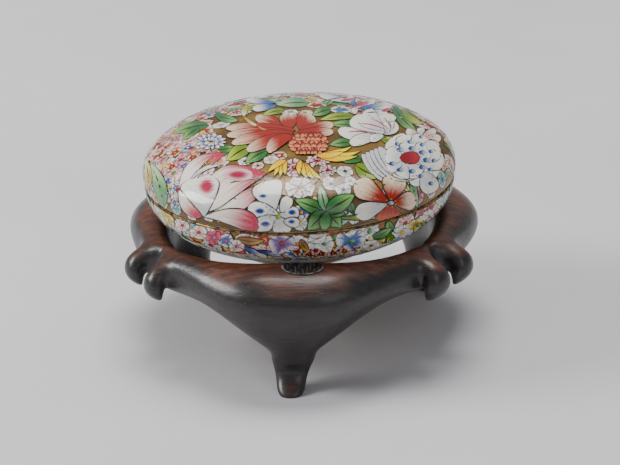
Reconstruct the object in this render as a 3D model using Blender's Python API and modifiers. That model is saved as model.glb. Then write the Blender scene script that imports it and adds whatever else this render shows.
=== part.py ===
"""A round covered box for seal paste, resting on a carved wooden stand.

The box is two thin-walled bowls, a base and a lid that lifts off. The stand is one
carved piece with three lobes. Each lobe has a swelling belly, a leg with a small foot
that turns outward, and two arms that end in hooked knobs. The front faces -Y.
All sizes are in metres. The stand's feet are on z = 0.
"""

import math

import bmesh
import bpy
from mathutils import Matrix, Vector

MM = 0.001

# Box: outer sizes
BOX_RADIUS = 38.0 * MM
LID_RISE = 14.5 * MM
BASE_DROP = 16.0 * MM
SEAM_NIP = 0.35 * MM
LID_WAIST = 2.4 * MM
LID_ROUNDNESS = 2.25
BASE_ROUNDNESS = 2.2

# Box: walls, foot ring and the lip that keeps the lid in place
LID_WALL = 2.2 * MM
BASE_WALL = 2.4 * MM
LIP_HEIGHT = 2.6 * MM
LIP_WALL = 1.3 * MM
LIP_CLEARANCE = 0.35 * MM
FOOT_RING_RADIUS = 17.0 * MM
FOOT_RING_WIDTH = 2.0 * MM
FOOT_RING_HEIGHT = 0.8 * MM
TOUCH_GAP = 0.3 * MM

# Box: how it sits, slightly rolled to its left on the three high points of the rim
SEAT_TILT = math.radians(0.5)
SEAT_INSET = 5.2 * MM
SEAT_CLEARANCE = 0.3 * MM

# Stand: the ring's rim
RIM_Z = 32.4 * MM
ARM_TOP_DROP = 2.6 * MM
CORNER_DROP = 1.0 * MM
RIM_INSIDE = 0.8 * MM
RIM_CREST = 3.2 * MM
RIM_ROUND = 1.9 * MM

# Stand: belly and arms, measured outward from the rim's seat
BELLY_REACH = 14.9 * MM
ARM_REACH = 7.6 * MM
NECK_REACH = 5.0 * MM
BELLY_Z = 24.8 * MM
SHOULDER_DROP = 1.7 * MM
LOWER_BELLY_SHARE = 0.5
LOWER_BELLY_FULL = 0.62
ARM_Z = 25.4 * MM
UNDER_Z = 19.6 * MM
ARM_TUCK = 4.2 * MM
NECK_TUCK = 1.0 * MM
NECK_DROP = 1.8 * MM
BELLY_TUCK = 7.2 * MM
LEG_ROOT_DROP = 11.8 * MM
LEG_ROOT_POWER = 2.2
CREST_POWER = 4

# Stand: leg, from its root to the foot
LEG_OUT = (6.2 * MM, 4.6 * MM, 6.0 * MM, 10.6 * MM)
LEG_IN = (-3.0 * MM, -1.4 * MM, 0.2 * MM, 3.2 * MM)
LEG_HALF_WIDTH = (5.8 * MM, 4.7 * MM, 3.8 * MM, 3.5 * MM)
LEG_Z = (7.6 * MM, 5.2 * MM, 2.8 * MM, -1.0 * MM)
LEG_LEAN = (-0.9 * MM, 5.0 * MM, -5.0 * MM)
LEG_LEAN_SHARES = (0.4, 0.75, 1.0, 1.0)

# Stand: round knobs at the ends of the arms
KNOB_ROOT_Z = 21.8 * MM
KNOB_OUT = (8.8 * MM, 10.2 * MM, 10.5 * MM)
KNOB_Z = (23.8 * MM, 22.0 * MM, 19.4 * MM)
KNOB_HALF = (3.6 * MM, 3.6 * MM, 2.2 * MM)
KNOB_SIDE = (2.8 * MM, 3.4 * MM, 2.3 * MM)
KNOB_PITCH = (10.0, 34.0, 58.0)
KNOB_GROWTH = {(0, 1): 1.3, (1, -1): 1.25, (1, 1): 1.2, (2, -1): 1.2, (2, 1): 1.1}

# Stand: where the cross-sections of one lobe lie, as angles from its middle
LOBE_COUNT = 3
LEG_ANGLE = 9.0
SIDE_ANGLES = (20.0, 33.0)
ARM_ANGLE = 47.5
KNOB_ANGLE = 57.0
SWELL_ANGLE = 50.0

# Fineness
BOX_SEGMENTS = 60
LID_STEPS = 9
BASE_STEPS = 9
INNER_STEPS = 6
SMOOTHING_LEVELS = 2
STAND_KEPT_SHARE = 0.46
MERGE_DISTANCE = 0.05 * MM

LACQUER_GOLD = (0.24, 0.13, 0.025, 1.0)
DARK_WOOD = (0.030, 0.020, 0.016, 1.0)

SEAT_RADIUS = BOX_RADIUS - SEAT_INSET
SEAM_RADIUS = BOX_RADIUS - SEAM_NIP


def clear_scene():
    """Remove what the file holds before the model is made."""
    for thing in list(bpy.data.objects):
        bpy.data.objects.remove(thing, do_unlink=True)


def make_collection(name):
    """A new collection in the scene."""
    group = bpy.data.collections.new(name)
    bpy.context.scene.collection.children.link(group)
    return group


def make_material(name, colour, roughness, coat):
    """A Principled material in one colour."""
    material = bpy.data.materials.new(name)
    material.use_nodes = True
    shader = material.node_tree.nodes["Principled BSDF"]
    shader.inputs["Base Color"].default_value = colour
    shader.inputs["Roughness"].default_value = roughness
    shader.inputs["Metallic"].default_value = 0.0
    shader.inputs["Coat Weight"].default_value = coat
    return material


def add_object(name, mesh, group, material=None):
    """Link a mesh to a collection as a smooth-shaded object."""
    thing = bpy.data.objects.new(name, mesh)
    group.objects.link(thing)
    if material is not None:
        mesh.materials.append(material)
    mesh.shade_smooth()
    return thing


def bulge(share, roundness):
    """Radius share of a rounded bowl at a share of its height, 1 at the rim and 0 at the pole."""
    return (1.0 - share ** roundness) ** (1.0 / roundness)


def arc_shares(steps):
    """Height shares from the rim to the pole, closer together near the pole."""
    return [math.sin(0.5 * math.pi * step / steps) for step in range(steps)]


def lid_curve(inset, steps):
    """Points of the lid's dome, from its waist to its pole, set in by a wall."""
    radius = BOX_RADIUS - inset
    rise = LID_RISE - LID_WAIST - inset
    points = [(radius * bulge(share, LID_ROUNDNESS), LID_WAIST + rise * share)
              for share in arc_shares(steps)]
    return points + [(0.0, LID_WAIST + rise)]


def base_curve(inset, steps):
    """Points of the base's bowl, from the seam to its lowest point, set in by a wall."""
    radius = SEAM_RADIUS - inset
    drop = BASE_DROP - inset
    points = [(radius * bulge(share, BASE_ROUNDNESS), -drop * share)
              for share in arc_shares(steps)]
    return points + [(0.0, -drop)]


def base_depth(radius):
    """Height of the base's outer surface, below the seam, at a distance from its axis."""
    share = radius / SEAM_RADIUS
    return -BASE_DROP * bulge(share, BASE_ROUNDNESS)


def turned(name, profile, group, material=None):
    """A closed turned solid: a profile in the XZ plane from pole to pole, with a Screw modifier."""
    mesh = bpy.data.meshes.new(name)
    edges = [(i, i + 1) for i in range(len(profile) - 1)]
    mesh.from_pydata([(radius, 0.0, height) for radius, height in profile], edges, [])
    thing = add_object(name, mesh, group, material)
    screw = thing.modifiers.new("Turn", "SCREW")
    screw.axis = "Z"
    screw.steps = BOX_SEGMENTS
    screw.render_steps = BOX_SEGMENTS
    screw.use_merge_vertices = True
    screw.merge_threshold = MERGE_DISTANCE
    return thing


def make_lid(group, material):
    """The lid: a domed shell, closed at the top and open below."""
    outer = list(reversed(lid_curve(0.0, LID_STEPS)))
    inner = lid_curve(LID_WALL, INNER_STEPS)
    rim = [(SEAM_RADIUS, TOUCH_GAP), (BOX_RADIUS - LID_WALL, TOUCH_GAP)]
    return turned("lid", outer + rim + inner, group, material)


def make_base(group, material):
    """The base: a bowl with a foot ring below and a lip inside its rim for the lid."""
    lip_outer = BOX_RADIUS - LID_WALL - LIP_CLEARANCE
    lip_inner = lip_outer - LIP_WALL
    inner = list(reversed(base_curve(BASE_WALL, INNER_STEPS)))
    lip = [(lip_inner, LIP_HEIGHT), (lip_outer, LIP_HEIGHT), (lip_outer, 0.0)]
    outer = base_curve(0.0, BASE_STEPS)
    ring_out = FOOT_RING_RADIUS + FOOT_RING_WIDTH / 2
    ring_in = FOOT_RING_RADIUS - FOOT_RING_WIDTH / 2
    ring_z = -BASE_DROP - FOOT_RING_HEIGHT
    beyond_ring = [point for point in outer if point[0] > ring_out]
    under_ring = -BASE_DROP + FOOT_RING_HEIGHT / 2
    ring = [(ring_out, base_depth(ring_out)), (ring_out, ring_z), (ring_in, ring_z),
            (ring_in, under_ring), (0.0, under_ring)]
    return turned("base", inner + lip + beyond_ring + ring, group, material)


def make_seat_cutter(group):
    """The room that the box takes up in the stand: its base, larger by the seat's clearance."""
    radius = SEAM_RADIUS + SEAT_CLEARANCE
    drop = BASE_DROP + SEAT_CLEARANCE
    wall = [(radius * bulge(share, BASE_ROUNDNESS), -drop * share)
            for share in arc_shares(BASE_STEPS)]
    profile = [(0.0, LID_RISE), (radius, LID_RISE)] + wall + [(0.0, -drop)]
    cutter = turned("seat_cutter", profile, group)
    cutter.hide_render = True
    cutter.display_type = "WIRE"
    return cutter


def make_floor_cutter(group):
    """The space below the floor, which cuts the feet flat."""
    bpy.ops.mesh.primitive_cube_add(size=1.0)
    cutter = bpy.context.active_object
    cutter.name = "floor_cutter"
    side = 4.0 * BOX_RADIUS
    depth = BOX_RADIUS
    size = Matrix.Diagonal((side, side, depth, 1.0))
    cutter.data.transform(Matrix.Translation((0.0, 0.0, -depth / 2)) @ size)
    for old in list(cutter.users_collection):
        old.objects.unlink(cutter)
    group.objects.link(cutter)
    cutter.hide_render = True
    cutter.display_type = "WIRE"
    return cutter


def swell(angle):
    """How much of the belly a cross-section has, 1 at the lobe's middle and 0 at its arms."""
    return math.cos(0.5 * math.pi * min(1.0, abs(angle) / SWELL_ANGLE)) ** 2


def section(angle):
    """Seven corners of the ring's cross-section, as pairs of distance from the axis and height.

    They go round from the inner bottom, up the inside, over the top and down the outside.
    """
    share = swell(angle)
    in_neck = abs(angle) > KNOB_ANGLE
    by_knob = ARM_ANGLE <= abs(angle) <= KNOB_ANGLE
    top = RIM_Z - ARM_TOP_DROP * (1.0 - share) - (CORNER_DROP if in_neck else 0.0)
    arm = NECK_REACH if in_neck else ARM_REACH
    reach = arm + (BELLY_REACH - ARM_REACH) * share
    under = UNDER_Z - LEG_ROOT_DROP * share ** LEG_ROOT_POWER - (NECK_DROP if in_neck else 0.0)
    belly_z = KNOB_ROOT_Z if by_knob else ARM_Z + (BELLY_Z - ARM_Z) * share
    shoulder = reach - RIM_INSIDE - RIM_CREST * share
    tuck = reach - (NECK_TUCK if in_neck else ARM_TUCK + (BELLY_TUCK - ARM_TUCK) * share)
    lower = tuck + LOWER_BELLY_FULL * (reach - tuck)
    lower_z = belly_z + LOWER_BELLY_SHARE * (under - belly_z)
    return ((SEAT_RADIUS - RIM_CREST * share ** CREST_POWER, under),
            (SEAT_RADIUS - RIM_INSIDE, top - RIM_ROUND),
            (SEAT_RADIUS + RIM_CREST, top + RIM_INSIDE),
            (SEAT_RADIUS + shoulder, top - RIM_ROUND / 2 - SHOULDER_DROP * share),
            (SEAT_RADIUS + reach, belly_z),
            (SEAT_RADIUS + lower, lower_z),
            (SEAT_RADIUS + tuck, under + RIM_INSIDE))


def at_angle(radius, along, height, angle):
    """A point at a distance from the axis, moved along the ring, at an angle from the front."""
    turn = math.radians(angle)
    outward = Vector((math.sin(turn), -math.cos(turn), 0.0))
    sideways = Vector((math.cos(turn), math.sin(turn), 0.0))
    return outward * radius + sideways * along + Vector((0.0, 0.0, height))


def bridge(bm, loop_a, loop_b):
    """Faces between two loops of the same length."""
    count = len(loop_a)
    for i in range(count):
        j = (i + 1) % count
        bm.faces.new((loop_a[i], loop_a[j], loop_b[j], loop_b[i]))


def add_leg(bm, root, lobe, middle):
    """A leg grown from the four corners of the ring's open underside, down to the foot."""
    before = root
    loops = zip(LEG_OUT, LEG_IN, LEG_HALF_WIDTH, LEG_Z, LEG_LEAN_SHARES)
    for out, back, half, height, share in loops:
        lean = LEG_LEAN[lobe] * share
        places = ((SEAT_RADIUS + back, lean - half), (SEAT_RADIUS + out, lean - half),
                  (SEAT_RADIUS + out, lean + half), (SEAT_RADIUS + back, lean + half))
        loop = [bm.verts.new(at_angle(radius, along, height, middle)) for radius, along in places]
        bridge(bm, before, loop)
        before = loop
    bm.faces.new(before)


def add_knob(bm, root, lobe, middle, side):
    """A round knob grown from an open face of the arm: outward, then down to its blunt end."""
    before = root
    angle = middle + side * 0.5 * (ARM_ANGLE + KNOB_ANGLE)
    growth = KNOB_GROWTH.get((lobe, side), 1.0)
    knob = zip(KNOB_OUT, KNOB_Z, KNOB_HALF, KNOB_SIDE, KNOB_PITCH)
    for out, height, half, wide, pitch in knob:
        tip = math.radians(pitch)
        up_out = math.sin(tip) * half * growth
        up_z = math.cos(tip) * half * growth
        reach = wide * growth
        corners = ((-reach, 1), (-reach, -1), (reach, -1), (reach, 1))
        loop = [bm.verts.new(at_angle(SEAT_RADIUS + out + way * up_out, side * across,
                                      height + way * up_z, angle))
                for across, way in corners]
        bridge(bm, before, loop)
        before = loop
    bm.faces.new(before)


def make_stand(group, material, cutters):
    """The stand: a coarse cage of the ring, legs and knobs, smoothed and cut for box and floor."""
    bm = bmesh.new()
    half_angles = (LEG_ANGLE,) + SIDE_ANGLES + (ARM_ANGLE, KNOB_ANGLE)
    stations = [-angle for angle in reversed(half_angles)] + list(half_angles)
    step = 360.0 / LOBE_COUNT
    rings = []
    for lobe in range(LOBE_COUNT):
        middle = lobe * step
        for angle in stations:
            loop = [bm.verts.new(at_angle(radius, 0.0, height, middle + angle))
                    for radius, height in section(angle)]
            rings.append((lobe, angle, loop))
        corner = [bm.verts.new(at_angle(radius, 0.0, height, middle + step / 2))
                  for radius, height in section(step / 2)]
        rings.append((lobe, step / 2, corner))
    for index, (lobe, angle, loop) in enumerate(rings):
        middle = lobe * step
        after = rings[(index + 1) % len(rings)][2]
        for i in range(len(loop)):
            j = (i + 1) % len(loop)
            under_leg = angle == -LEG_ANGLE and j == 0
            left_knob = angle == -KNOB_ANGLE and i == 3
            right_knob = angle == ARM_ANGLE and i == 3
            if under_leg:
                add_leg(bm, [loop[j], loop[i], after[i], after[j]], lobe, middle)
            elif left_knob:
                add_knob(bm, [after[i], after[j], loop[j], loop[i]], lobe, middle, -1)
            elif right_knob:
                add_knob(bm, [loop[i], loop[j], after[j], after[i]], lobe, middle, 1)
            else:
                bm.faces.new((loop[i], loop[j], after[j], after[i]))
    bmesh.ops.recalc_face_normals(bm, faces=bm.faces)
    mesh = bpy.data.meshes.new("stand")
    bm.to_mesh(mesh)
    bm.free()
    stand = add_object("stand", mesh, group, material)
    smooth = stand.modifiers.new("Carve smooth", "SUBSURF")
    smooth.levels = SMOOTHING_LEVELS
    smooth.render_levels = SMOOTHING_LEVELS
    thin = stand.modifiers.new("Fewer faces", "DECIMATE")
    thin.ratio = STAND_KEPT_SHARE
    for cutter in cutters:
        cut = stand.modifiers.new("Cut " + cutter.name, "BOOLEAN")
        cut.operation = "DIFFERENCE"
        cut.solver = "EXACT"
        cut.object = cutter
    return stand


def make_seat_place():
    """An empty where the box's seam plane crosses its axis; the box's pieces hang from it."""
    seat_top = RIM_Z - RIM_INSIDE
    seam_z = seat_top + SEAT_CLEARANCE - base_depth(SEAT_RADIUS)
    place = bpy.data.objects.new("box_place", None)
    place.location = (0.0, 0.0, seam_z)
    place.rotation_euler = (0.0, -SEAT_TILT, 0.0)
    bpy.context.scene.collection.objects.link(place)
    return place


def main():
    """Make the three pieces."""
    clear_scene()
    group = make_collection("covered_box_on_stand")
    cutter_group = make_collection("cutters")
    glaze = make_material("painted_glaze", LACQUER_GOLD, 0.2, 0.5)
    wood = make_material("dark_wood", DARK_WOOD, 0.35, 0.2)
    place = make_seat_place()
    seat_cutter = make_seat_cutter(cutter_group)
    floor_cutter = make_floor_cutter(cutter_group)
    lid = make_lid(group, glaze)
    base = make_base(group, glaze)
    for piece in (lid, base, seat_cutter):
        piece.parent = place
    make_stand(group, wood, (seat_cutter, floor_cutter))
    bpy.context.view_layer.update()


main()
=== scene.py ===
"""Looks of a painted, covered seal-paste box on its carved wooden stand.

The lid and the base are turned porcelain shells on a brown gold ground. Each flower is
a set of thin enamel petals, laid on the glaze along the sight lines of the photograph
in front and by azimuth elsewhere. The stand is one smooth carving of dark wood.
"""
import math

import bmesh
import bpy
import numpy as np
from mathutils import Matrix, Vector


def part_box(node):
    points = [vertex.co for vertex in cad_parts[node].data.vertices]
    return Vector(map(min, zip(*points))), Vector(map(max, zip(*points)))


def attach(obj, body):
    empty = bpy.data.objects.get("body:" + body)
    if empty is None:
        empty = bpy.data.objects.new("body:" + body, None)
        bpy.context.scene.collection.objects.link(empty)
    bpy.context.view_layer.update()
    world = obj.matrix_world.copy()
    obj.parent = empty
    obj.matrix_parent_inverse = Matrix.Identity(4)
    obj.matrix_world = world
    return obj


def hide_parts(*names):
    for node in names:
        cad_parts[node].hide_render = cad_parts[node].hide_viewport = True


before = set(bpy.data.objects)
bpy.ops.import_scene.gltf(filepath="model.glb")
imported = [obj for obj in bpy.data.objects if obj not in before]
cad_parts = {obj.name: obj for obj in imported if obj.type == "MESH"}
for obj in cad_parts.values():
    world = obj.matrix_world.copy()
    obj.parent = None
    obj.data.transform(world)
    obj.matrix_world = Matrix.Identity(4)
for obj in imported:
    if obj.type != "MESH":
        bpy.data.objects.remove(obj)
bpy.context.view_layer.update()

bl_info = {
    "name": "Covered seal-paste box on a carved stand",
    "version": (1, 0, 0),
    "blender": (4, 5, 0),
    "location": "View3D > Sidebar > Seal box",
    "description": "Builds the painted box, its flowers, the carved stand and a plain stage",
    "category": "Add Mesh",
}

MM = 0.001

# The photograph's frame and the camera that took it, fitted to the seam, knobs and feet
PHOTO_WIDTH = 620.0
PHOTO_HEIGHT = 465.0
VIEW_ELEVATION = math.radians(22.3)
VIEW_TURN = math.radians(4.1)
VIEW_ROLL = math.radians(-1.9)
VIEW_DISTANCE = 680.0 * MM
VIEW_FOCAL_PX = 2775.0
VIEW_AIM = (2.26 * MM, -4.3 * MM, 30.0 * MM)
SENSOR_WIDTH_MM = 36.0

# Box: the same sizes as its solids
BOX_RADIUS = 38.0 * MM
LID_RISE = 14.5 * MM
LID_WAIST = 2.4 * MM
SEAM_NIP = 0.35 * MM
LID_ROUNDNESS = 2.25
BASE_DROP = 16.0 * MM
BASE_ROUNDNESS = 2.2
LID_WALL = 2.2 * MM
BASE_WALL = 2.4 * MM
LIP_HEIGHT = 2.6 * MM
LIP_WALL = 1.3 * MM
LIP_CLEARANCE = 0.35 * MM
FOOT_RING_RADIUS = 17.0 * MM
FOOT_RING_WIDTH = 2.0 * MM
FOOT_RING_HEIGHT = 0.8 * MM
TOUCH_GAP = 0.3 * MM
SEAT_TILT = math.radians(0.5)
SEAT_INSET = 5.2 * MM
SEAT_CLEARANCE = 0.3 * MM
SEAM_RADIUS = BOX_RADIUS - SEAM_NIP
SEAT_RADIUS = BOX_RADIUS - SEAT_INSET

# Stand: the same cage as its solid
RIM_Z = 32.4 * MM
ARM_TOP_DROP = 2.6 * MM
CORNER_DROP = 1.0 * MM
RIM_INSIDE = 0.8 * MM
RIM_CREST = 3.2 * MM
RIM_ROUND = 1.9 * MM
BELLY_REACH = 14.9 * MM
ARM_REACH = 7.6 * MM
NECK_REACH = 5.0 * MM
BELLY_Z = 24.8 * MM
SHOULDER_DROP = 1.7 * MM
LOWER_BELLY_SHARE = 0.5
LOWER_BELLY_FULL = 0.62
ARM_Z = 25.4 * MM
UNDER_Z = 19.6 * MM
ARM_TUCK = 4.2 * MM
NECK_TUCK = 1.0 * MM
NECK_DROP = 1.8 * MM
BELLY_TUCK = 7.2 * MM
LEG_ROOT_DROP = 11.8 * MM
LEG_ROOT_POWER = 2.2
CREST_POWER = 4
LEG_OUT = (6.2 * MM, 4.6 * MM, 6.0 * MM, 10.6 * MM)
LEG_IN = (-3.0 * MM, -1.4 * MM, 0.2 * MM, 3.2 * MM)
LEG_HALF_WIDTH = (5.8 * MM, 4.7 * MM, 3.8 * MM, 3.5 * MM)
LEG_Z = (7.6 * MM, 5.2 * MM, 2.8 * MM, -1.0 * MM)
LEG_LEAN = (-0.9 * MM, 5.0 * MM, -5.0 * MM)
LEG_LEAN_SHARES = (0.4, 0.75, 1.0, 1.0)
KNOB_ROOT_Z = 21.8 * MM
KNOB_OUT = (8.8 * MM, 10.2 * MM, 10.5 * MM)
KNOB_Z = (23.8 * MM, 22.0 * MM, 19.4 * MM)
KNOB_HALF = (3.6 * MM, 3.6 * MM, 2.2 * MM)
KNOB_SIDE = (2.8 * MM, 3.4 * MM, 2.3 * MM)
KNOB_PITCH = (10.0, 34.0, 58.0)
KNOB_GROWTH = {(0, 1): 1.3, (1, -1): 1.25, (1, 1): 1.2, (2, -1): 1.2, (2, 1): 1.1}
LOBE_COUNT = 3
LEG_ANGLE = 9.0
SIDE_ANGLES = (20.0, 33.0)
ARM_ANGLE = 47.5
KNOB_ANGLE = 57.0
SWELL_ANGLE = 50.0


def srgb(red, green, blue):
    """A colour given as 0 to 255 screen values, as the linear values that shaders use."""
    share = np.array([red, green, blue]) / 255.0
    linear = np.where(share <= 0.04045, share / 12.92, ((share + 0.055) / 1.055) ** 2.4)
    return tuple(linear.tolist()) + (1.0,)


# Geometry of the box

def bulge(share, roundness):
    """Radius share of a rounded bowl at a share of its height: one minus the share to a power,
    to the inverse of that power."""
    share = np.clip(share, 0.0, 1.0)
    return (1.0 - share ** roundness) ** (1.0 / roundness)


def lid_radius(height):
    """Outer radius of the lid at a height above the seam: a slight waist, then the dome."""
    dome = BOX_RADIUS * bulge((height - LID_WAIST) / (LID_RISE - LID_WAIST), LID_ROUNDNESS)
    below = np.clip((LID_WAIST - height) / LID_WAIST, 0.0, 1.0)
    return np.where(height >= LID_WAIST, dome, BOX_RADIUS - SEAM_NIP * below ** 2)


def base_radius(height):
    """Outer radius of the base at a height below the seam, which is negative."""
    return SEAM_RADIUS * bulge(-height / BASE_DROP, BASE_ROUNDNESS)


def arc_shares(steps):
    """Height shares from 0 to 1, as sines of even angles, so they close up near 1."""
    return np.sin(0.5 * np.pi * np.arange(steps + 1) / steps)


def lid_profile(inset, steps):
    """Radius and height of the dome from its waist to its pole, set in by a wall."""
    share = arc_shares(steps)
    radius = (BOX_RADIUS - inset) * bulge(share, LID_ROUNDNESS)
    return np.stack([radius, LID_WAIST + (LID_RISE - LID_WAIST - inset) * share], 1)


def base_profile(inset, steps):
    """Radius and height of the bowl from the seam to its lowest point, set in by a wall."""
    share = arc_shares(steps)
    radius = (SEAM_RADIUS - inset) * bulge(share, BASE_ROUNDNESS)
    return np.stack([radius, -(BASE_DROP - inset) * share], 1)


def seam_height():
    """Height of the seam plane on the box's axis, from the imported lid's top."""
    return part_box("lid")[1][2] - LID_RISE * math.cos(SEAT_TILT)


def box_to_world(points):
    """Points of the box's own frame, turned by its slight roll and set on the stand."""
    c, s = math.cos(SEAT_TILT), math.sin(SEAT_TILT)
    x, y, z = points[..., 0], points[..., 1], points[..., 2]
    return np.stack([c * x - s * z, y, s * x + c * z + seam_height()], -1)


def world_to_box(points, is_direction=False):
    """The inverse of box_to_world, for points or for directions."""
    c, s = math.cos(SEAT_TILT), math.sin(SEAT_TILT)
    x, y, z = points[..., 0], points[..., 1], points[..., 2]
    if not is_direction:
        z = z - seam_height()
    return np.stack([c * x + s * z, y, -s * x + c * z], -1)


# Meshes

def new_piece(name, verts, faces, materials, smooth=True):
    """A mesh object at the origin, from arrays of points and of faces, with its materials."""
    mesh = bpy.data.meshes.new(name)
    mesh.from_pydata(np.asarray(verts).tolist(), [], [list(face) for face in faces])
    for material in materials:
        mesh.materials.append(material)
    if smooth:
        mesh.shade_smooth()
    piece = bpy.data.objects.new(name, mesh)
    bpy.context.scene.collection.objects.link(piece)
    return piece


def turned_shell(profile, segments):
    """Points and faces of a profile turned about the axis: radius times cosine and sine of an
    even angle, with a single point at each pole."""
    angle = 2.0 * np.pi * np.arange(segments) / segments
    inner = profile[1:-1]
    ring = np.stack([inner[:, None, 0] * np.cos(angle), inner[:, None, 0] * np.sin(angle),
                     np.repeat(inner[:, 1:2], segments, 1)], -1).reshape(-1, 3)
    poles = np.array([[0.0, 0.0, profile[0, 1]], [0.0, 0.0, profile[-1, 1]]])
    verts = np.concatenate([poles, ring])
    rows = len(inner)
    here = 2 + np.arange(segments)
    there = 2 + (np.arange(segments) + 1) % segments
    faces = [(0, a, b) for a, b in zip(here, there)]
    step = segments * np.arange(rows - 1)[:, None]
    quads = np.stack([here + step, here + step + segments, there + step + segments, there + step], -1)
    faces += [tuple(quad) for quad in quads.reshape(-1, 4)]
    last = segments * (rows - 1)
    faces += [(1, b + last, a + last) for a, b in zip(here, there)]
    return verts, faces


def grid_faces(rows, columns):
    """Quads between the neighbouring points of a grid."""
    index = np.arange(rows * columns).reshape(rows, columns)
    quads = np.stack([index[:-1, :-1], index[:-1, 1:], index[1:, 1:], index[1:, :-1]], -1)
    return quads.reshape(-1, 4)


# Stand

def swell(angle):
    """How much belly a section has: squared cosine from the lobe's middle to its arms."""
    return math.cos(0.5 * math.pi * min(1.0, abs(angle) / SWELL_ANGLE)) ** 2


def section(angle):
    """Seven corners of the ring's section, as distance from the axis and height, going up the
    inside, over the top and down the outside."""
    share = swell(angle)
    in_neck = abs(angle) > KNOB_ANGLE
    by_knob = ARM_ANGLE <= abs(angle) <= KNOB_ANGLE
    top = RIM_Z - ARM_TOP_DROP * (1.0 - share) - (CORNER_DROP if in_neck else 0.0)
    arm = NECK_REACH if in_neck else ARM_REACH
    reach = arm + (BELLY_REACH - ARM_REACH) * share
    under = UNDER_Z - LEG_ROOT_DROP * share ** LEG_ROOT_POWER - (NECK_DROP if in_neck else 0.0)
    belly_z = KNOB_ROOT_Z if by_knob else ARM_Z + (BELLY_Z - ARM_Z) * share
    shoulder = reach - RIM_INSIDE - RIM_CREST * share
    tuck = reach - (NECK_TUCK if in_neck else ARM_TUCK + (BELLY_TUCK - ARM_TUCK) * share)
    lower = tuck + LOWER_BELLY_FULL * (reach - tuck)
    lower_z = belly_z + LOWER_BELLY_SHARE * (under - belly_z)
    return ((SEAT_RADIUS - RIM_CREST * share ** CREST_POWER, under),
            (SEAT_RADIUS - RIM_INSIDE, top - RIM_ROUND),
            (SEAT_RADIUS + RIM_CREST, top + RIM_INSIDE),
            (SEAT_RADIUS + shoulder, top - RIM_ROUND / 2 - SHOULDER_DROP * share),
            (SEAT_RADIUS + reach, belly_z),
            (SEAT_RADIUS + lower, lower_z),
            (SEAT_RADIUS + tuck, under + RIM_INSIDE))


def at_angle(radius, along, height, angle):
    """A point at a distance from the axis, moved along the ring, at an angle from the front."""
    turn = math.radians(angle)
    return (math.sin(turn) * radius + math.cos(turn) * along,
            -math.cos(turn) * radius + math.sin(turn) * along, height)


def bridge(bm, loop_a, loop_b):
    """Faces between two loops of the same length."""
    count = len(loop_a)
    for i in range(count):
        j = (i + 1) % count
        bm.faces.new((loop_a[i], loop_a[j], loop_b[j], loop_b[i]))


def add_leg(bm, root, lobe, middle):
    """A leg grown from the four corners of the ring's open underside, down to the foot."""
    before = root
    loops = zip(LEG_OUT, LEG_IN, LEG_HALF_WIDTH, LEG_Z, LEG_LEAN_SHARES)
    for out, back, half, height, share in loops:
        lean = LEG_LEAN[lobe] * share
        places = ((SEAT_RADIUS + back, lean - half), (SEAT_RADIUS + out, lean - half),
                  (SEAT_RADIUS + out, lean + half), (SEAT_RADIUS + back, lean + half))
        loop = [bm.verts.new(at_angle(radius, along, height, middle)) for radius, along in places]
        bridge(bm, before, loop)
        before = loop
    bm.faces.new(before)


def add_knob(bm, root, lobe, middle, side):
    """A round knob grown from an open face of the arm: outward, then down to its blunt end."""
    before = root
    angle = middle + side * 0.5 * (ARM_ANGLE + KNOB_ANGLE)
    growth = KNOB_GROWTH.get((lobe, side), 1.0)
    knob = zip(KNOB_OUT, KNOB_Z, KNOB_HALF, KNOB_SIDE, KNOB_PITCH)
    for out, height, half, wide, pitch in knob:
        tip = math.radians(pitch)
        up_out = math.sin(tip) * half * growth
        up_z = math.cos(tip) * half * growth
        reach = wide * growth
        corners = ((-reach, 1), (-reach, -1), (reach, -1), (reach, 1))
        loop = [bm.verts.new(at_angle(SEAT_RADIUS + out + way * up_out, side * across,
                                      height + way * up_z, angle))
                for across, way in corners]
        bridge(bm, before, loop)
        before = loop
    bm.faces.new(before)


def stand_cage():
    """The coarse closed cage of the stand: a ring of sections, with legs and knobs grown on."""
    bm = bmesh.new()
    half_angles = (LEG_ANGLE,) + SIDE_ANGLES + (ARM_ANGLE, KNOB_ANGLE)
    stations = [-angle for angle in reversed(half_angles)] + list(half_angles)
    step = 360.0 / LOBE_COUNT
    rings = []
    for lobe in range(LOBE_COUNT):
        for angle in stations + [step / 2]:
            loop = [bm.verts.new(at_angle(radius, 0.0, height, lobe * step + angle))
                    for radius, height in section(angle)]
            rings.append((lobe, angle, loop))
    for index, (lobe, angle, loop) in enumerate(rings):
        middle = lobe * step
        after = rings[(index + 1) % len(rings)][2]
        for i in range(len(loop)):
            j = (i + 1) % len(loop)
            if angle == -LEG_ANGLE and j == 0:
                add_leg(bm, [loop[j], loop[i], after[i], after[j]], lobe, middle)
            elif angle == -KNOB_ANGLE and i == 3:
                add_knob(bm, [after[i], after[j], loop[j], loop[i]], lobe, middle, -1)
            elif angle == ARM_ANGLE and i == 3:
                add_knob(bm, [loop[i], loop[j], after[j], after[i]], lobe, middle, 1)
            else:
                bm.faces.new((loop[i], loop[j], after[j], after[i]))
    bmesh.ops.recalc_face_normals(bm, faces=bm.faces)
    return bm


def mesh_points(mesh):
    """The points of a mesh as an array."""
    points = np.empty(len(mesh.vertices) * 3)
    mesh.vertices.foreach_get("co", points)
    return points.reshape(-1, 3)


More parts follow.
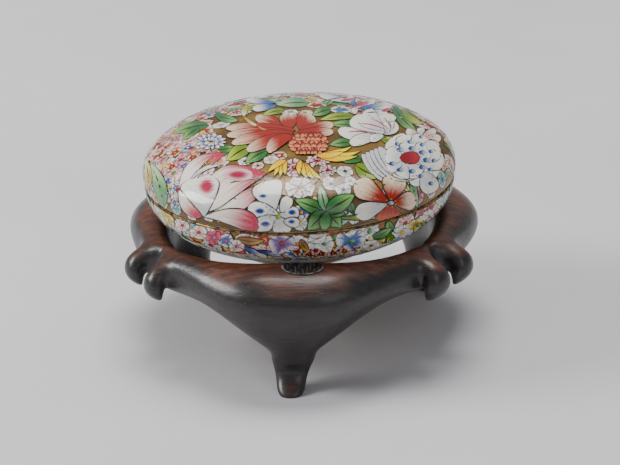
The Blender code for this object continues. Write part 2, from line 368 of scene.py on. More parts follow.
def fit_to_box_and_floor(points):
    """Press the stand's points out of the box's seat, down along its axis, and flatten the feet
    on the floor plane."""
    local = world_to_box(points)
    radius = np.hypot(local[:, 0], local[:, 1])
    share = np.clip(radius / (SEAM_RADIUS + SEAT_CLEARANCE), 0.0, 1.0)
    seat = -(BASE_DROP + SEAT_CLEARANCE) * bulge(share, BASE_ROUNDNESS)
    local[:, 2] = np.minimum(local[:, 2], np.where(share < 1.0, seat, local[:, 2]))
    fitted = box_to_world(local)
    fitted[:, 2] = np.maximum(fitted[:, 2], 0.0)
    return fitted


def carve_stand(levels):
    """The smooth stand: the cage under Subdivision Surface, then fitted to the box and floor."""
    bm = stand_cage()
    mesh = bpy.data.meshes.new("stand_cage")
    bm.to_mesh(mesh)
    bm.free()
    rough = bpy.data.objects.new("stand_cage", mesh)
    bpy.context.scene.collection.objects.link(rough)
    smooth = rough.modifiers.new("Carve smooth", "SUBSURF")
    smooth.levels = levels
    smooth.render_levels = levels
    ready = rough.evaluated_get(bpy.context.evaluated_depsgraph_get())
    fine = bpy.data.meshes.new_from_object(ready)
    bpy.data.objects.remove(rough, do_unlink=True)
    fine.name = "carved_stand"
    points = fit_to_box_and_floor(mesh_points(fine))
    fine.vertices.foreach_set("co", points.ravel())
    fine.update()
    return fine


# Sight lines of the photograph

def camera_axes():
    """The camera's eye and its forward, right and up directions, from its elevation, its turn
    about the object and its roll."""
    forward = np.array([0.0, math.cos(VIEW_ELEVATION), -math.sin(VIEW_ELEVATION)])
    flat_right = np.array([1.0, 0.0, 0.0])
    flat_up = np.cross(flat_right, forward)
    c, s = math.cos(VIEW_ROLL), math.sin(VIEW_ROLL)
    right = c * flat_right + s * flat_up
    up = -s * flat_right + c * flat_up
    eye = (np.array([0.0, 0.0, VIEW_AIM[2]]) - VIEW_DISTANCE * forward
           + VIEW_AIM[0] * right + VIEW_AIM[1] * up)
    c, s = math.cos(VIEW_TURN), math.sin(VIEW_TURN)
    turn = np.array([[c, -s, 0.0], [s, c, 0.0], [0.0, 0.0, 1.0]])
    return turn @ eye, turn @ forward, turn @ right, turn @ up


def photo_rays(pixels):
    """The eye, and the directions of the rays through photo pixels."""
    eye, forward, right, up = camera_axes()
    across = (pixels[..., 0:1] - PHOTO_WIDTH / 2) / VIEW_FOCAL_PX
    down = (pixels[..., 1:2] - PHOTO_HEIGHT / 2) / VIEW_FOCAL_PX
    return eye, forward + across * right - down * up


def sight_lines(pixels):
    """Eye and unit directions, in the box's own frame, of the rays through photo pixels."""
    eye, ray = photo_rays(pixels)
    ray = ray / np.linalg.norm(ray, axis=-1, keepdims=True)
    return world_to_box(eye), world_to_box(ray, is_direction=True)


def outside_lid(points):
    """How far outside the lid's dome points are: the sum of the powers of their radius and
    height shares, less one."""
    radius = np.hypot(points[..., 0], points[..., 1]) / BOX_RADIUS
    height = np.maximum(points[..., 2] - LID_WAIST, 0.0) / (LID_RISE - LID_WAIST)
    return radius ** LID_ROUNDNESS + height ** LID_ROUNDNESS - 1.0


def outside_base(points):
    """The same for the base's bowl, whose heights are below the seam."""
    radius = np.hypot(points[..., 0], points[..., 1]) / SEAM_RADIUS
    depth = np.maximum(-points[..., 2], 0.0) / BASE_DROP
    return radius ** BASE_ROUNDNESS + depth ** BASE_ROUNDNESS - 1.0


SEAM_EDGE = 0.5 * MM
POLE_EDGE = 0.995
FLAT_SHARE = 0.6
CURVE_STEPS = 60
RAY_STEPS = 24
PULL_STEPS = 24
PULL_SHARE = 0.99
MISS_LIMIT = 0.01
GRAZE_LIMIT = 0.22
PICTURE_MIDDLE = (298.0, 180.0)
PIXEL_MM = 0.245
RAY_PROBE = 0.01 * MM
FLAT_SLOPE = 1e-3
BACK_STEP = 0.2 * BOX_RADIUS
LEAST_TURN_RADIUS = 6 * MM


def meet(pixels, outside):
    """Where the rays through photo pixels first meet a rounded form: Newton steps from the eye's
    side along each ray, which close in on the first root because the form is convex. Where a
    ray misses the form, or only grazes it, all the pixels are drawn in together towards the
    picture's middle."""
    pixels = np.array(pixels, float)
    middle = np.array(PICTURE_MIDDLE)
    for _ in range(PULL_STEPS):
        eye, ray = sight_lines(pixels)
        near = np.full(pixels.shape[:-1], VIEW_DISTANCE - 2.0 * BOX_RADIUS)
        for _ in range(RAY_STEPS):
            value = outside(eye + near[..., None] * ray)
            slope = (outside(eye + (near + RAY_PROBE)[..., None] * ray) - value) / RAY_PROBE
            step = np.where(slope < -FLAT_SLOPE, -value / np.minimum(slope, -FLAT_SLOPE), 0.0)
            near = near + np.clip(step, -BACK_STEP, BOX_RADIUS)
        missed = (np.abs(value) > MISS_LIMIT) | (slope * BOX_RADIUS > -GRAZE_LIMIT)
        if not missed.any():
            break
        pixels = middle + (pixels - middle) * PULL_SHARE
    return eye + near[..., None] * ray


def on_lid(points, lift):
    """Points put back exactly on the lid's skin at their height and azimuth, lifted off it."""
    height = np.clip(points[..., 2], SEAM_EDGE, LID_WAIST + (LID_RISE - LID_WAIST) * POLE_EDGE)
    azimuth = np.arctan2(points[..., 1], points[..., 0])
    flat = points[..., 2] > LID_WAIST + FLAT_SHARE * (LID_RISE - LID_WAIST)
    own = np.minimum(np.hypot(points[..., 0], points[..., 1]), BOX_RADIUS)
    top = LID_WAIST + (LID_RISE - LID_WAIST) * bulge(own / BOX_RADIUS, LID_ROUNDNESS)
    radius = np.where(flat, own, lid_radius(height))
    height = np.where(flat, top, height)
    place = np.stack([radius * np.cos(azimuth), radius * np.sin(azimuth), height], -1)
    return place + lift * lid_normal(place)


def lid_normal(points):
    """Outward directions of the lid's skin, from the slopes of its radius and height shares."""
    radius = np.maximum(np.hypot(points[..., 0], points[..., 1]), 1e-9)
    across = (radius / BOX_RADIUS) ** (LID_ROUNDNESS - 1.0) / BOX_RADIUS
    rise = LID_RISE - LID_WAIST
    along = (np.maximum(points[..., 2] - LID_WAIST, 0.0) / rise) ** (LID_ROUNDNESS - 1.0) / rise
    normal = np.stack([points[..., 0] / radius * across, points[..., 1] / radius * across, along], -1)
    return normal / np.linalg.norm(normal, axis=-1, keepdims=True)


def on_base(points, lift):
    """Points put back exactly on the base's skin at their height and azimuth, lifted off it."""
    height = np.clip(points[..., 2], -BASE_DROP * POLE_EDGE, -SEAM_EDGE)
    azimuth = np.arctan2(points[..., 1], points[..., 0])
    flat = height < -FLAT_SHARE * BASE_DROP
    own = np.minimum(np.hypot(points[..., 0], points[..., 1]), SEAM_RADIUS)
    low = -BASE_DROP * bulge(own / SEAM_RADIUS, BASE_ROUNDNESS)
    radius = np.where(flat, own, base_radius(height))
    height = np.where(flat, low, height)
    place = np.stack([radius * np.cos(azimuth), radius * np.sin(azimuth), height], -1)
    across = (np.maximum(radius, 1e-9) / SEAM_RADIUS) ** (BASE_ROUNDNESS - 1.0) / SEAM_RADIUS
    along = (-height / BASE_DROP) ** (BASE_ROUNDNESS - 1.0) / BASE_DROP
    normal = np.stack([np.cos(azimuth) * across, np.sin(azimuth) * across, -along], -1)
    return place + lift * normal / np.linalg.norm(normal, axis=-1, keepdims=True)


# Ways of laying a flat drawing on the box

def lid_in_view(drawing, lift):
    """A drawing in photo pixels, laid on the lid along the sight lines."""
    return on_lid(meet(drawing, outside_lid), lift)


def base_in_view(drawing, lift):
    """A drawing in photo pixels, laid on the base along the sight lines."""
    return on_base(meet(drawing, outside_base), lift)


def skin_curve(profile):
    """Arc length along a profile, for laying drawings by length."""
    step = np.hypot(*np.diff(profile, axis=0).T)
    return np.concatenate([[0.0], np.cumsum(step)])


def lid_by_azimuth(azimuth, length):
    """A drawing in millimetres, up and across, laid on the lid at an azimuth from the front and
    at a length along its skin from the waist."""
    profile = lid_profile(0.0, CURVE_STEPS)
    lengths = skin_curve(profile)
    total = lengths[-1]

    def lay(drawing, lift):
        turn = math.radians(azimuth)
        flat = total - length * MM
        east = drawing[..., 0] * MM
        north = drawing[..., 1] * MM
        x = math.sin(turn) * (flat - north) + math.cos(turn) * east
        y = -math.cos(turn) * (flat - north) + math.sin(turn) * east
        out = np.hypot(x, y)
        along = np.clip(total - out, 0.0, total * POLE_EDGE)
        radius = np.interp(along, lengths, profile[:, 0])
        height = np.interp(along, lengths, profile[:, 1])
        height = np.where(out > total, np.maximum(LID_WAIST - (out - total), SEAM_EDGE), height)
        angle = np.arctan2(y, x)
        place = np.stack([radius * np.cos(angle), radius * np.sin(angle), height], -1)
        return on_lid(place, lift)
    return lay


def lid_seen_at(pixel):
    """A way of laying drawings in millimetres at the place of the lid that shows at a pixel of
    the photograph."""
    x, y, z = meet(np.array(pixel, float), outside_lid)
    profile = lid_profile(0.0, CURVE_STEPS)
    length = np.interp(z - math.hypot(x, y), profile[:, 1] - profile[:, 0], skin_curve(profile))
    return lid_by_azimuth(math.degrees(math.atan2(x, -y)), length / MM)


def base_by_azimuth(azimuth, depth):
    """A drawing in millimetres, up and across, laid on the base at an azimuth from the front and
    at a length down its skin from the seam."""
    profile = base_profile(0.0, CURVE_STEPS)
    lengths = skin_curve(profile)

    def lay(drawing, lift):
        down = np.clip((depth - drawing[..., 1]) * MM, SEAM_EDGE, lengths[-1] * POLE_EDGE)
        radius = np.interp(down, lengths, profile[:, 0])
        height = np.interp(down, lengths, profile[:, 1])
        middle = max(np.interp(depth * MM, lengths, profile[:, 0]), LEAST_TURN_RADIUS)
        angle = math.radians(azimuth - 90.0) + drawing[..., 0] * MM / middle
        place = np.stack([radius * np.cos(angle), radius * np.sin(angle), height], -1)
        return on_base(place, lift)
    return lay


# Petals

PETAL_SHAPES = {
    "round": (0.55, 3.0, 0.5),
    "oval": (0.5, 2.0, 0.5),
    "pointed": (0.6, 1.3, 1.0),
    "lance": (1.0, 1.0, 1.0),
    "fan": (0.85, 5.0, 0.45),
}
RANK_LIFT = 0.036 * MM
FIRST_LIFT = 0.05 * MM
PETAL_LIFT = 0.003 * MM
LIFT_CYCLE = 12
SCALLOP_DEPTH = 0.07
SEED_STEP = 0.6180339887
FACING_CENTRE = (0.0, 0.0, -4.0 * MM)
# What aged enamel keeps of its red, green and blue
AGED = (0.93, 0.915, 0.82)
BLUSH_CORE = 1.2
BLUSH_FALL = 0.98
BLUSH_EDGE = 9.0
OUTLINE = 0.3
THIN_OUTLINE = 0.22


def petal_width(share, shape):
    """Half width of a petal at a share of its length: the share to a power, times one less the
    share to a power, to a power, scaled so that its widest place is one."""
    a, c, b = PETAL_SHAPES[shape]
    fine = np.linspace(0.0, 1.0, 101)
    peak = (fine ** a * (1.0 - fine ** c) ** b).max()
    return share ** a * (1.0 - share ** c) ** b / peak


def border_shares(count):
    """Shares from 0 to 1, closer together near both ends, where the outline is drawn."""
    even = np.linspace(0.0, 1.0, count)
    return 0.5 * even + 0.25 * (1.0 - np.cos(np.pi * even))


def flat_petal(root, tip, width, bend, shape, scallops, rows, columns):
    """A petal on the flat: rows along a middle line that bows sideways by a share of its length,
    columns across it, and a scalloped far end where asked."""
    along = border_shares(rows)
    across = 2.0 * border_shares(columns) - 1.0
    root, tip = np.array(root, float), np.array(tip, float)
    span = tip - root
    side = np.array([-span[1], span[0]])
    half = 0.5 * width * petal_width(along, shape)
    if scallops:
        reach = 1.0 - SCALLOP_DEPTH * np.abs(np.sin(scallops * np.pi * (across + 1.0) * 0.5 + 0.5 * np.pi))
    else:
        reach = np.ones_like(across)
    run = along[:, None] * reach[None, :]
    middle = root + run[..., None] * span + (4.0 * bend * run * (1.0 - run))[..., None] * side
    unit = side / max(np.linalg.norm(side), 1e-9)
    return middle + (half[:, None] * across[None, :])[..., None] * unit, along, across


def grid_lengths(grid):
    """Distance in millimetres of each point of a laid grid from the grid's nearest border, from
    the lengths along its rows and its columns."""
    step_u = np.linalg.norm(np.diff(grid, axis=1), axis=-1)
    step_v = np.linalg.norm(np.diff(grid, axis=0), axis=-1)
    across = np.concatenate([np.zeros((len(grid), 1)), np.cumsum(step_u, 1)], 1)
    along = np.concatenate([np.zeros((1, grid.shape[1])), np.cumsum(step_v, 0)], 0)
    to_side = np.minimum(across, across[:, -1:] - across)
    to_end = np.minimum(along, along[-1:] - along)
    return np.minimum(to_side, to_end) / MM


class Painter:
    """Collects laid petals of one enamel, and makes them into one mesh."""

    def __init__(self):
        self.points, self.faces, self.colours, self.tips, self.marks = [], [], [], [], []
        self.count = 0
        self.laid = 0

    def petal(self, lay, root, tip, width, colours, rank=3, bend=0.0, shape="round", scallops=0,
              veins=0.5, line=OUTLINE, rows=9, columns=9, deep=0.0, blush=False):
        """Lay one petal, and keep its colours and the marks that its shader reads: the length
        share less the share that keeps the root's colour, the cross share, the distance from its
        edge, the strength of its veins, the width of its outline and a number of its own. On a
        blush the length share runs from the edge to the middle."""
        flat, along, across = flat_petal(root, tip, width, bend, shape, scallops, rows, columns)
        self.laid += 1
        lift = FIRST_LIFT + rank * RANK_LIFT + (self.laid % LIFT_CYCLE) * PETAL_LIFT
        grid = lay(flat, lift)
        edge = grid_lengths(grid)
        rows_of = np.repeat(along[:, None] - deep, columns, 1)
        if blush:
            away = np.hypot(2.0 * along[:, None] - 1.0, across[None, :])
            rows_of = BLUSH_CORE - BLUSH_FALL * away
            edge = np.full_like(edge, BLUSH_EDGE)
        columns_of = np.repeat(across[None, :], rows, 0)
        size = rows * columns
        self.points.append(grid.reshape(-1, 3))
        inner, outer = colours
        self.colours.append(np.repeat(np.array([inner[:3]]) * AGED, size, 0))
        self.tips.append(np.repeat(np.array([outer[:3]]) * AGED, size, 0))
        marks = [rows_of, columns_of, edge, np.full_like(edge, veins), np.full_like(edge, line),
                 np.full_like(edge, (self.laid * SEED_STEP) % 1.0)]
        self.marks.append(np.stack(marks, -1).reshape(size, -1))
        self.faces.append(self.count + grid_faces(rows, columns))
        self.count += size

    def finish(self, name, material):
        """Make the mesh, turn its faces outwards and store its marks as point attributes."""
        points = np.concatenate(self.points)
        faces = np.concatenate(self.faces)
        corner = points[faces]
        normal = np.cross(corner[:, 2] - corner[:, 0], corner[:, 3] - corner[:, 1])
        outward = corner.mean(1) - np.array(FACING_CENTRE)
        wrong = (normal * outward).sum(1) < 0.0
        faces[wrong] = faces[wrong][:, ::-1]
        piece = new_piece(name, box_to_world(points), faces, [material])
        mesh = piece.data
        size = len(points)
        for label, parts in (("petal_root", self.colours), ("petal_tip", self.tips)):
            values = np.concatenate([np.concatenate(parts), np.ones((size, 1))], 1)
            layer = mesh.attributes.new(label, "FLOAT_COLOR", "POINT")
            layer.data.foreach_set("color", values.astype(np.float32).ravel())
        marks = np.concatenate(self.marks).astype(np.float32)
        for label, columns in (("petal_place", (0, 1, 2)), ("petal_style", (3, 4, 5))):
            layer = mesh.attributes.new(label, "FLOAT_VECTOR", "POINT")
            layer.data.foreach_set("vector", marks[:, columns].ravel())
        return piece


# Materials

GRAIN_SLANT = (0.3, -0.5, 0.35)
GRAIN_SCALES = ((70.0, 900.0, 900.0), (420.0, 3600.0, 3600.0))


class Nodes:
    """A short way to write node trees: each call adds a node, sets its plain values and links."""

    def __init__(self, tree):
        self.tree = tree

    def feed(self, socket, value):
        """Give an input a plain value, or a socket to link from."""
        if isinstance(value, bpy.types.NodeSocket):
            self.tree.links.new(value, socket)
        else:
            socket.default_value = value

    def add(self, kind, inputs=None, **settings):
        """A shader node with its settings and its inputs."""
        node = self.tree.nodes.new("ShaderNode" + kind)
        for key, value in settings.items():
            setattr(node, key, value)
        for key, value in (inputs or {}).items():
            self.feed(node.inputs[key], value)
        return node

    def group(self, name, **inputs):
        """The outputs of a shared effect, placed with its own values."""
        return self.add("Group", inputs, node_tree=bpy.data.node_groups[name]).outputs

    def marks(self, name):
        """The three values of a point attribute."""
        vector = self.add("Attribute", attribute_name=name).outputs["Vector"]
        return self.add("SeparateXYZ", {"Vector": vector}).outputs

    def math(self, operation, first, second=0.0):
        """One arithmetic step on two values."""
        return self.add("Math", {0: first, 1: second}, operation=operation).outputs[0]

    def times(self, first, second):
        """The product of two values."""
        return self.math("MULTIPLY", first, second)

    def ramp(self, value, low, high, start=0.0, end=1.0):
        """A smooth step of a value from low to high."""
        inputs = {"Value": value, "From Min": low, "From Max": high, "To Min": start, "To Max": end}
        return self.add("MapRange", inputs, interpolation_type="SMOOTHSTEP").outputs["Result"]

    def mix(self, share, first, second):
        """Two colours mixed by a share."""
        return self.add("Mix", {"Factor": share, 6: first, 7: second}, data_type="RGBA").outputs[2]

    def noise(self, vector, scale, detail=3.0, rough=0.55, distortion=0.0):
        """Fractal noise at a scale, as a value near one half."""
        inputs = {"Vector": vector, "Scale": scale, "Detail": detail, "Roughness": rough,
                  "Distortion": distortion}
        return self.add("TexNoise", inputs).outputs["Fac"]

    def surface(self, inputs, height=None, strength=0.0, depth=0.0):
        """A Principled surface over a bump, where a height is given, as the material's output."""
        if height is not None:
            bump = self.add("Bump", {"Height": height, "Strength": strength, "Distance": depth})
            inputs["Normal"] = bump.outputs[0]
        self.add("OutputMaterial", {"Surface": self.add("BsdfPrincipled", inputs).outputs[0]})


def material_nodes(name):
    """The emptied nodes of a new material, and its object coordinates."""
    material = bpy.data.materials.new(name)
    material.use_nodes = True
    material.node_tree.nodes.clear()
    nodes = Nodes(material.node_tree)
    return nodes, nodes.add("TexCoord").outputs["Object"]


def new_group(name, inputs, outputs):
    """An empty node group: its nodes, its named inputs with their defaults, or none for a vector,
    and its named outputs."""
    tree = bpy.data.node_groups.new(name, "ShaderNodeTree")
    for label, default in inputs.items():
        kind = "NodeSocketVector" if default is None else "NodeSocketFloat"
        socket = tree.interface.new_socket(label, in_out="INPUT", socket_type=kind)
        if default is not None:
            socket.default_value = default
    for label in outputs:
        tree.interface.new_socket(label, in_out="OUTPUT", socket_type="NodeSocketFloat")
    given = tree.nodes.new("NodeGroupInput").outputs
    return Nodes(tree), given, tree.nodes.new("NodeGroupOutput").inputs


def pinhole_group():
    """Fired glaze: small dark pinholes, soft kiln staining and an uneven skin.

    The pinholes are the middles of scattered cells, kept where a broad noise allows them."""
    nodes, given, out = new_group("fired_glaze", {"Vector": None, "Amount": 0.5, "Scale": 900.0},
                                  ("Pinholes", "Stain", "Height"))
    vector = given["Vector"]
    cells = nodes.add("TexVoronoi", {"Vector": vector, "Scale": given["Scale"], "Randomness": 1.0},
                      feature="F1")
    dots = nodes.ramp(cells.outputs["Distance"], 0.2, 0.1)
    holes = nodes.times(dots, nodes.ramp(nodes.noise(vector, 420.0, 2.0), 0.46, 0.6))
    nodes.feed(out["Pinholes"], nodes.times(holes, given["Amount"]))
    nodes.feed(out["Stain"], nodes.ramp(nodes.noise(vector, 130.0, 4.0), 0.35, 0.75))
    nodes.feed(out["Height"], nodes.math("SUBTRACT", nodes.noise(vector, 260.0, 2.0), holes))


def brush_group():
    """Brushwork of enamel: long streaks along a petal, from noise stretched by its own shares."""
    nodes, given, out = new_group("brushed_enamel", {"Along": 0.0, "Across": 0.0, "Seed": 0.0},
                                  ("Streak", "Veins", "Wobble"))
    vector = nodes.add("CombineXYZ", {"X": nodes.times(given["Across"], 7.0),
                                      "Y": nodes.times(given["Along"], 1.6),
                                      "Z": nodes.times(given["Seed"], 40.0)}).outputs[0]
    fan = nodes.math("ADD", nodes.times(given["Across"], 11.0),
                     nodes.times(nodes.noise(vector, 0.7, 2.0), 5.0))
    wave = nodes.math("ABSOLUTE", nodes.math("SINE", fan))
    nodes.feed(out["Streak"], nodes.noise(vector, 1.0, 3.0))
    nodes.feed(out["Veins"], nodes.ramp(wave, 0.3, 0.04))
    nodes.feed(out["Wobble"], nodes.noise(vector, 2.6, 2.0))


def grain_group():
    """Dense dark wood: long grain lines on the slant, short pores between them and a polish that
    comes and goes. Each is noise stretched along the grain."""
    nodes, given, out = new_group("rosewood_grain", {"Vector": None},
                                  ("Grain", "Pores", "Polish", "Height"))
    long, short = (nodes.add("Mapping", {"Vector": given["Vector"], "Rotation": GRAIN_SLANT,
                                         "Scale": scale}).outputs[0] for scale in GRAIN_SCALES)
    grain = nodes.ramp(nodes.noise(long, 1.0, 4.0, 0.6, 0.3), 0.3, 0.7)
    pores = nodes.ramp(nodes.noise(short, 1.0, 2.0), 0.6, 0.7)
    nodes.feed(out["Grain"], grain)
    nodes.feed(out["Pores"], pores)
    nodes.feed(out["Polish"], nodes.ramp(nodes.noise(given["Vector"], 75.0, 4.0), 0.35, 0.65))
    nodes.feed(out["Height"], nodes.math("SUBTRACT", nodes.times(grain, 0.5), pores))


def gold_ground_material(dark, light):
    """The brown gold ground: mottled, metallic where whole, dull and dark where rubbed."""
    nodes, place = material_nodes("brown_gold_ground")
    fired = nodes.group("fired_glaze", Vector=place, Amount=0.8, Scale=620.0)
    broad = nodes.ramp(nodes.noise(place, 90.0, 4.0), 0.35, 0.7)
    fine = nodes.ramp(nodes.noise(place, 1400.0, 3.0), 0.35, 0.7)
    colour = nodes.mix(broad, dark, light)
    colour = nodes.mix(nodes.times(fine, 0.45), colour, srgb(70, 50, 18))
    colour = nodes.mix(fired["Pinholes"], colour, srgb(30, 18, 8))
    nodes.surface({"Base Color": colour, "Metallic": 0.25, "Specular IOR Level": 0.4,
                   "Roughness": nodes.ramp(fine, 0.0, 1.0, 0.3, 0.5),
                   "Coat Weight": 0.15, "Coat Roughness": 0.18}, fired["Height"], 0.3, 0.12 * MM)


def dark_wood_material(side, top):
    """Dark carved wood, nearly black on its sides and painted lighter red brown where it faces up, as
    painted top light.
    """
    nodes, place = material_nodes("dark_carved_wood")
    wood = nodes.group("rosewood_grain", Vector=place)
    normal = nodes.add("NewGeometry").outputs["Normal"]
    facing = nodes.add("SeparateXYZ", {"Vector": normal}).outputs[2]
    # Painted top light: the wood turns red brown the more it faces up, varied a little by the random
    # polish noise.
    rubbed = nodes.ramp(nodes.math("ADD", facing, nodes.times(wood["Polish"], 0.3)), 0.66, 1.2)
    deep = nodes.mix(wood["Grain"], srgb(23, 20, 19), side)
    lit_top_colour = nodes.mix(wood["Grain"], srgb(62, 32, 22), top)
    colour = nodes.mix(rubbed, deep, lit_top_colour)
    colour = nodes.mix(nodes.times(wood["Pores"], 0.5), colour, srgb(14, 10, 9))
    nodes.surface({"Base Color": colour, "Coat Weight": 0.25, "Coat Roughness": 0.2,
                   "Roughness": nodes.ramp(wood["Polish"], 0.0, 1.0, 0.32, 0.44)},
                  wood["Height"], 0.35, 0.15 * MM)


def gilt_material():
    """Worn gilding of the two rims: gold leaf rubbed through to the brown below."""
    nodes, place = material_nodes("worn_gilt_rim")
    fired = nodes.group("fired_glaze", Vector=place, Amount=0.6, Scale=800.0)
    rubbed = nodes.ramp(nodes.noise(place, 520.0, 4.0), 0.42, 0.6)
    colour = nodes.mix(rubbed, srgb(150, 114, 58), srgb(62, 42, 20))
    colour = nodes.mix(fired["Pinholes"], colour, srgb(24, 14, 8))
    nodes.surface({"Base Color": colour, "Metallic": 0.6,
                   "Roughness": nodes.ramp(rubbed, 0.0, 1.0, 0.3, 0.55)},
                  fired["Height"], 0.35, 0.1 * MM)


def white_glaze_material():
    """The plain white glaze inside, faintly blue, with a few pinholes."""
    nodes, place = material_nodes("white_inner_glaze")
    fired = nodes.group("fired_glaze", Vector=place, Amount=0.6, Scale=300.0)
    colour = nodes.mix(fired["Stain"], srgb(236, 238, 236), srgb(222, 227, 224))
    colour = nodes.mix(fired["Pinholes"], colour, srgb(120, 96, 70))
    nodes.surface({"Base Color": colour, "Coat Weight": 0.6, "Coat Roughness": 0.05,
                   "Roughness": nodes.ramp(fired["Stain"], 0.0, 1.0, 0.08, 0.16)},
                  fired["Height"], 0.2, 0.1 * MM)


def enamel_material():
    """Painted petals: root colour to tip colour under brush streaks, veins in the deeper colour,
    a broken dark outline near the edge, and pinholes fired through the gloss."""
    nodes, place = material_nodes("painted_enamel")
    along, across, edge = nodes.marks("petal_place")
    vein_strength, line_width, seed = nodes.marks("petal_style")
    root, tip = (nodes.add("Attribute", attribute_name=name).outputs["Color"]
                 for name in ("petal_root", "petal_tip"))
    brush = nodes.group("brushed_enamel", Along=along, Across=across, Seed=seed)
    fired = nodes.group("fired_glaze", Vector=place, Amount=0.85, Scale=520.0)
    streak = nodes.times(nodes.math("SUBTRACT", brush["Streak"], 0.5), 0.6)
    colour = nodes.mix(nodes.ramp(nodes.math("ADD", along, streak), 0.3, 0.85), root, tip)
    deep = nodes.mix(0.55, root, (0.02, 0.01, 0.01, 1.0))
    fading = nodes.times(brush["Veins"], nodes.ramp(along, 0.98, 0.35))
    mottle = nodes.ramp(nodes.noise(place, 1900.0, 2.0, 0.7), 0.5, 0.72)
    shade = nodes.ramp(edge, 0.75, 0.1)
    for where, share in ((nodes.times(fading, vein_strength), 0.8), (shade, 0.22), (mottle, 0.3)):
        colour = nodes.mix(nodes.times(where, share), colour, deep)
    colour = nodes.mix(fired["Pinholes"], colour, srgb(60, 40, 30))
    wide = nodes.times(line_width, nodes.ramp(brush["Wobble"], 0.3, 0.7, 0.45, 1.25))
    outline = nodes.ramp(nodes.math("SUBTRACT", edge, wide), 0.06, -0.02)
    colour = nodes.mix(nodes.times(outline, 0.97), colour, srgb(16, 11, 11))
    nodes.surface({"Base Color": colour, "Roughness": nodes.ramp(brush["Streak"], 0.3, 0.7, 0.1, 0.2),
                   "Specular IOR Level": 0.4, "Coat Weight": 0.15, "Coat Roughness": 0.06},
                  fired["Height"], 0.25, 0.1 * MM)


def bare_clay_material():
    """Unglazed porcelain of the ring under the base: off-white, dry and stained."""
    nodes, place = material_nodes("bare_foot_clay")
    stain = nodes.ramp(nodes.noise(place, 380.0, 4.0), 0.4, 0.7)
    nodes.surface({"Base Color": nodes.mix(stain, srgb(214, 200, 178), srgb(160, 136, 104)),
                   "Roughness": nodes.ramp(stain, 0.0, 1.0, 0.75, 0.9)},
                  nodes.noise(place, 2600.0, 2.0), 0.4, 0.1 * MM)


def seal_material():
    """Blackened relief: a near-black ground, sunk strokes coloured paler grey as a painted highlight, and
    a pale rim that is a painted highlight broken up by noise.
    """
    nodes, place = material_nodes("blackened_inscription")
    rim, stroke, _ = nodes.marks("seal_marks")
    sheen_noise = nodes.ramp(nodes.noise(place, 900.0, 3.0), 0.35, 0.65)
    # Painted highlight: the strokes are coloured paler grey, and the rim paler still where the noise
    # allows.
    colour = nodes.mix(nodes.times(stroke, 0.8), srgb(16, 14, 14), srgb(96, 92, 88))
    colour = nodes.mix(nodes.times(nodes.times(rim, sheen_noise), 0.9), colour, srgb(150, 144, 136))
    nodes.surface({"Base Color": colour, "Roughness": nodes.ramp(sheen_noise, 0.0, 1.0, 0.3, 0.45)})


def floor_material():
    """Pale grey paper, with a fine tooth."""
    nodes, place = material_nodes("pale_grey_paper")
    mottle = nodes.ramp(nodes.noise(place, 14.0, 3.0), 0.3, 0.7)
    nodes.surface({"Base Color": nodes.mix(mottle, srgb(206, 204, 207), srgb(210, 208, 211)),
                   "Roughness": nodes.ramp(mottle, 0.0, 1.0, 0.86, 0.92)},
                  nodes.noise(place, 900.0, 2.0), 0.04, 0.2 * MM)


def finish_materials(scene):
    """Every shared effect and finish, by name, made once."""
    if "painted_enamel" not in bpy.data.materials:
        for make in (pinhole_group, brush_group, grain_group):
            make()
        paint, stand = scene.seal_box_paint, scene.seal_box_stand
        gold_ground_material(tuple(paint.ground_dark), tuple(paint.ground_light))
        dark_wood_material(tuple(stand.side_colour), tuple(stand.top_colour))
        for make in (gilt_material, white_glaze_material, enamel_material, bare_clay_material,
                     seal_material, floor_material):
            make()
    return bpy.data.materials


# Shells

SHELL_SEGMENTS = 180
SHELL_STEPS = 40
INSIDE_STEPS = 24
SKIRT_STEPS = 6
RIM_ROUNDING = 0.5 * MM
LIP_ROUNDING = 0.4 * LIP_WALL
ROUNDING_STEPS = 4
SIDE_START = 4


def rounded_corner(before, corner, after, size):
    """Points that replace a profile's corner: a quadratic curve from a little before it to a
    little after it, with the corner as its handle."""
    before, corner, after = (np.array(point, float) for point in (before, corner, after))
    start = corner + (before - corner) / np.linalg.norm(before - corner) * size
    end = corner + (after - corner) / np.linalg.norm(after - corner) * size
    t = np.linspace(0.0, 1.0, ROUNDING_STEPS + 1)[:, None]
    return (1 - t) ** 2 * start + 2 * t * (1 - t) * corner + t ** 2 * end


def lid_shell_profile():
    """Radius and height of the lid from its outer pole round the rim to its inner pole."""
    outer = lid_profile(0.0, SHELL_STEPS)[::-1]
    waist = np.linspace(LID_WAIST, TOUCH_GAP + RIM_ROUNDING, SKIRT_STEPS)[1:]
    skirt = np.stack([lid_radius(waist), waist], 1)
    inner = lid_profile(LID_WALL, INSIDE_STEPS)
    low_out = (float(lid_radius(TOUCH_GAP)), TOUCH_GAP)
    low_in = (BOX_RADIUS - LID_WALL, TOUCH_GAP)
    rim = [rounded_corner(skirt[-1], low_out, low_in, RIM_ROUNDING),
           rounded_corner(low_out, low_in, inner[0], RIM_ROUNDING)]
    return np.concatenate([outer, skirt] + rim + [inner])


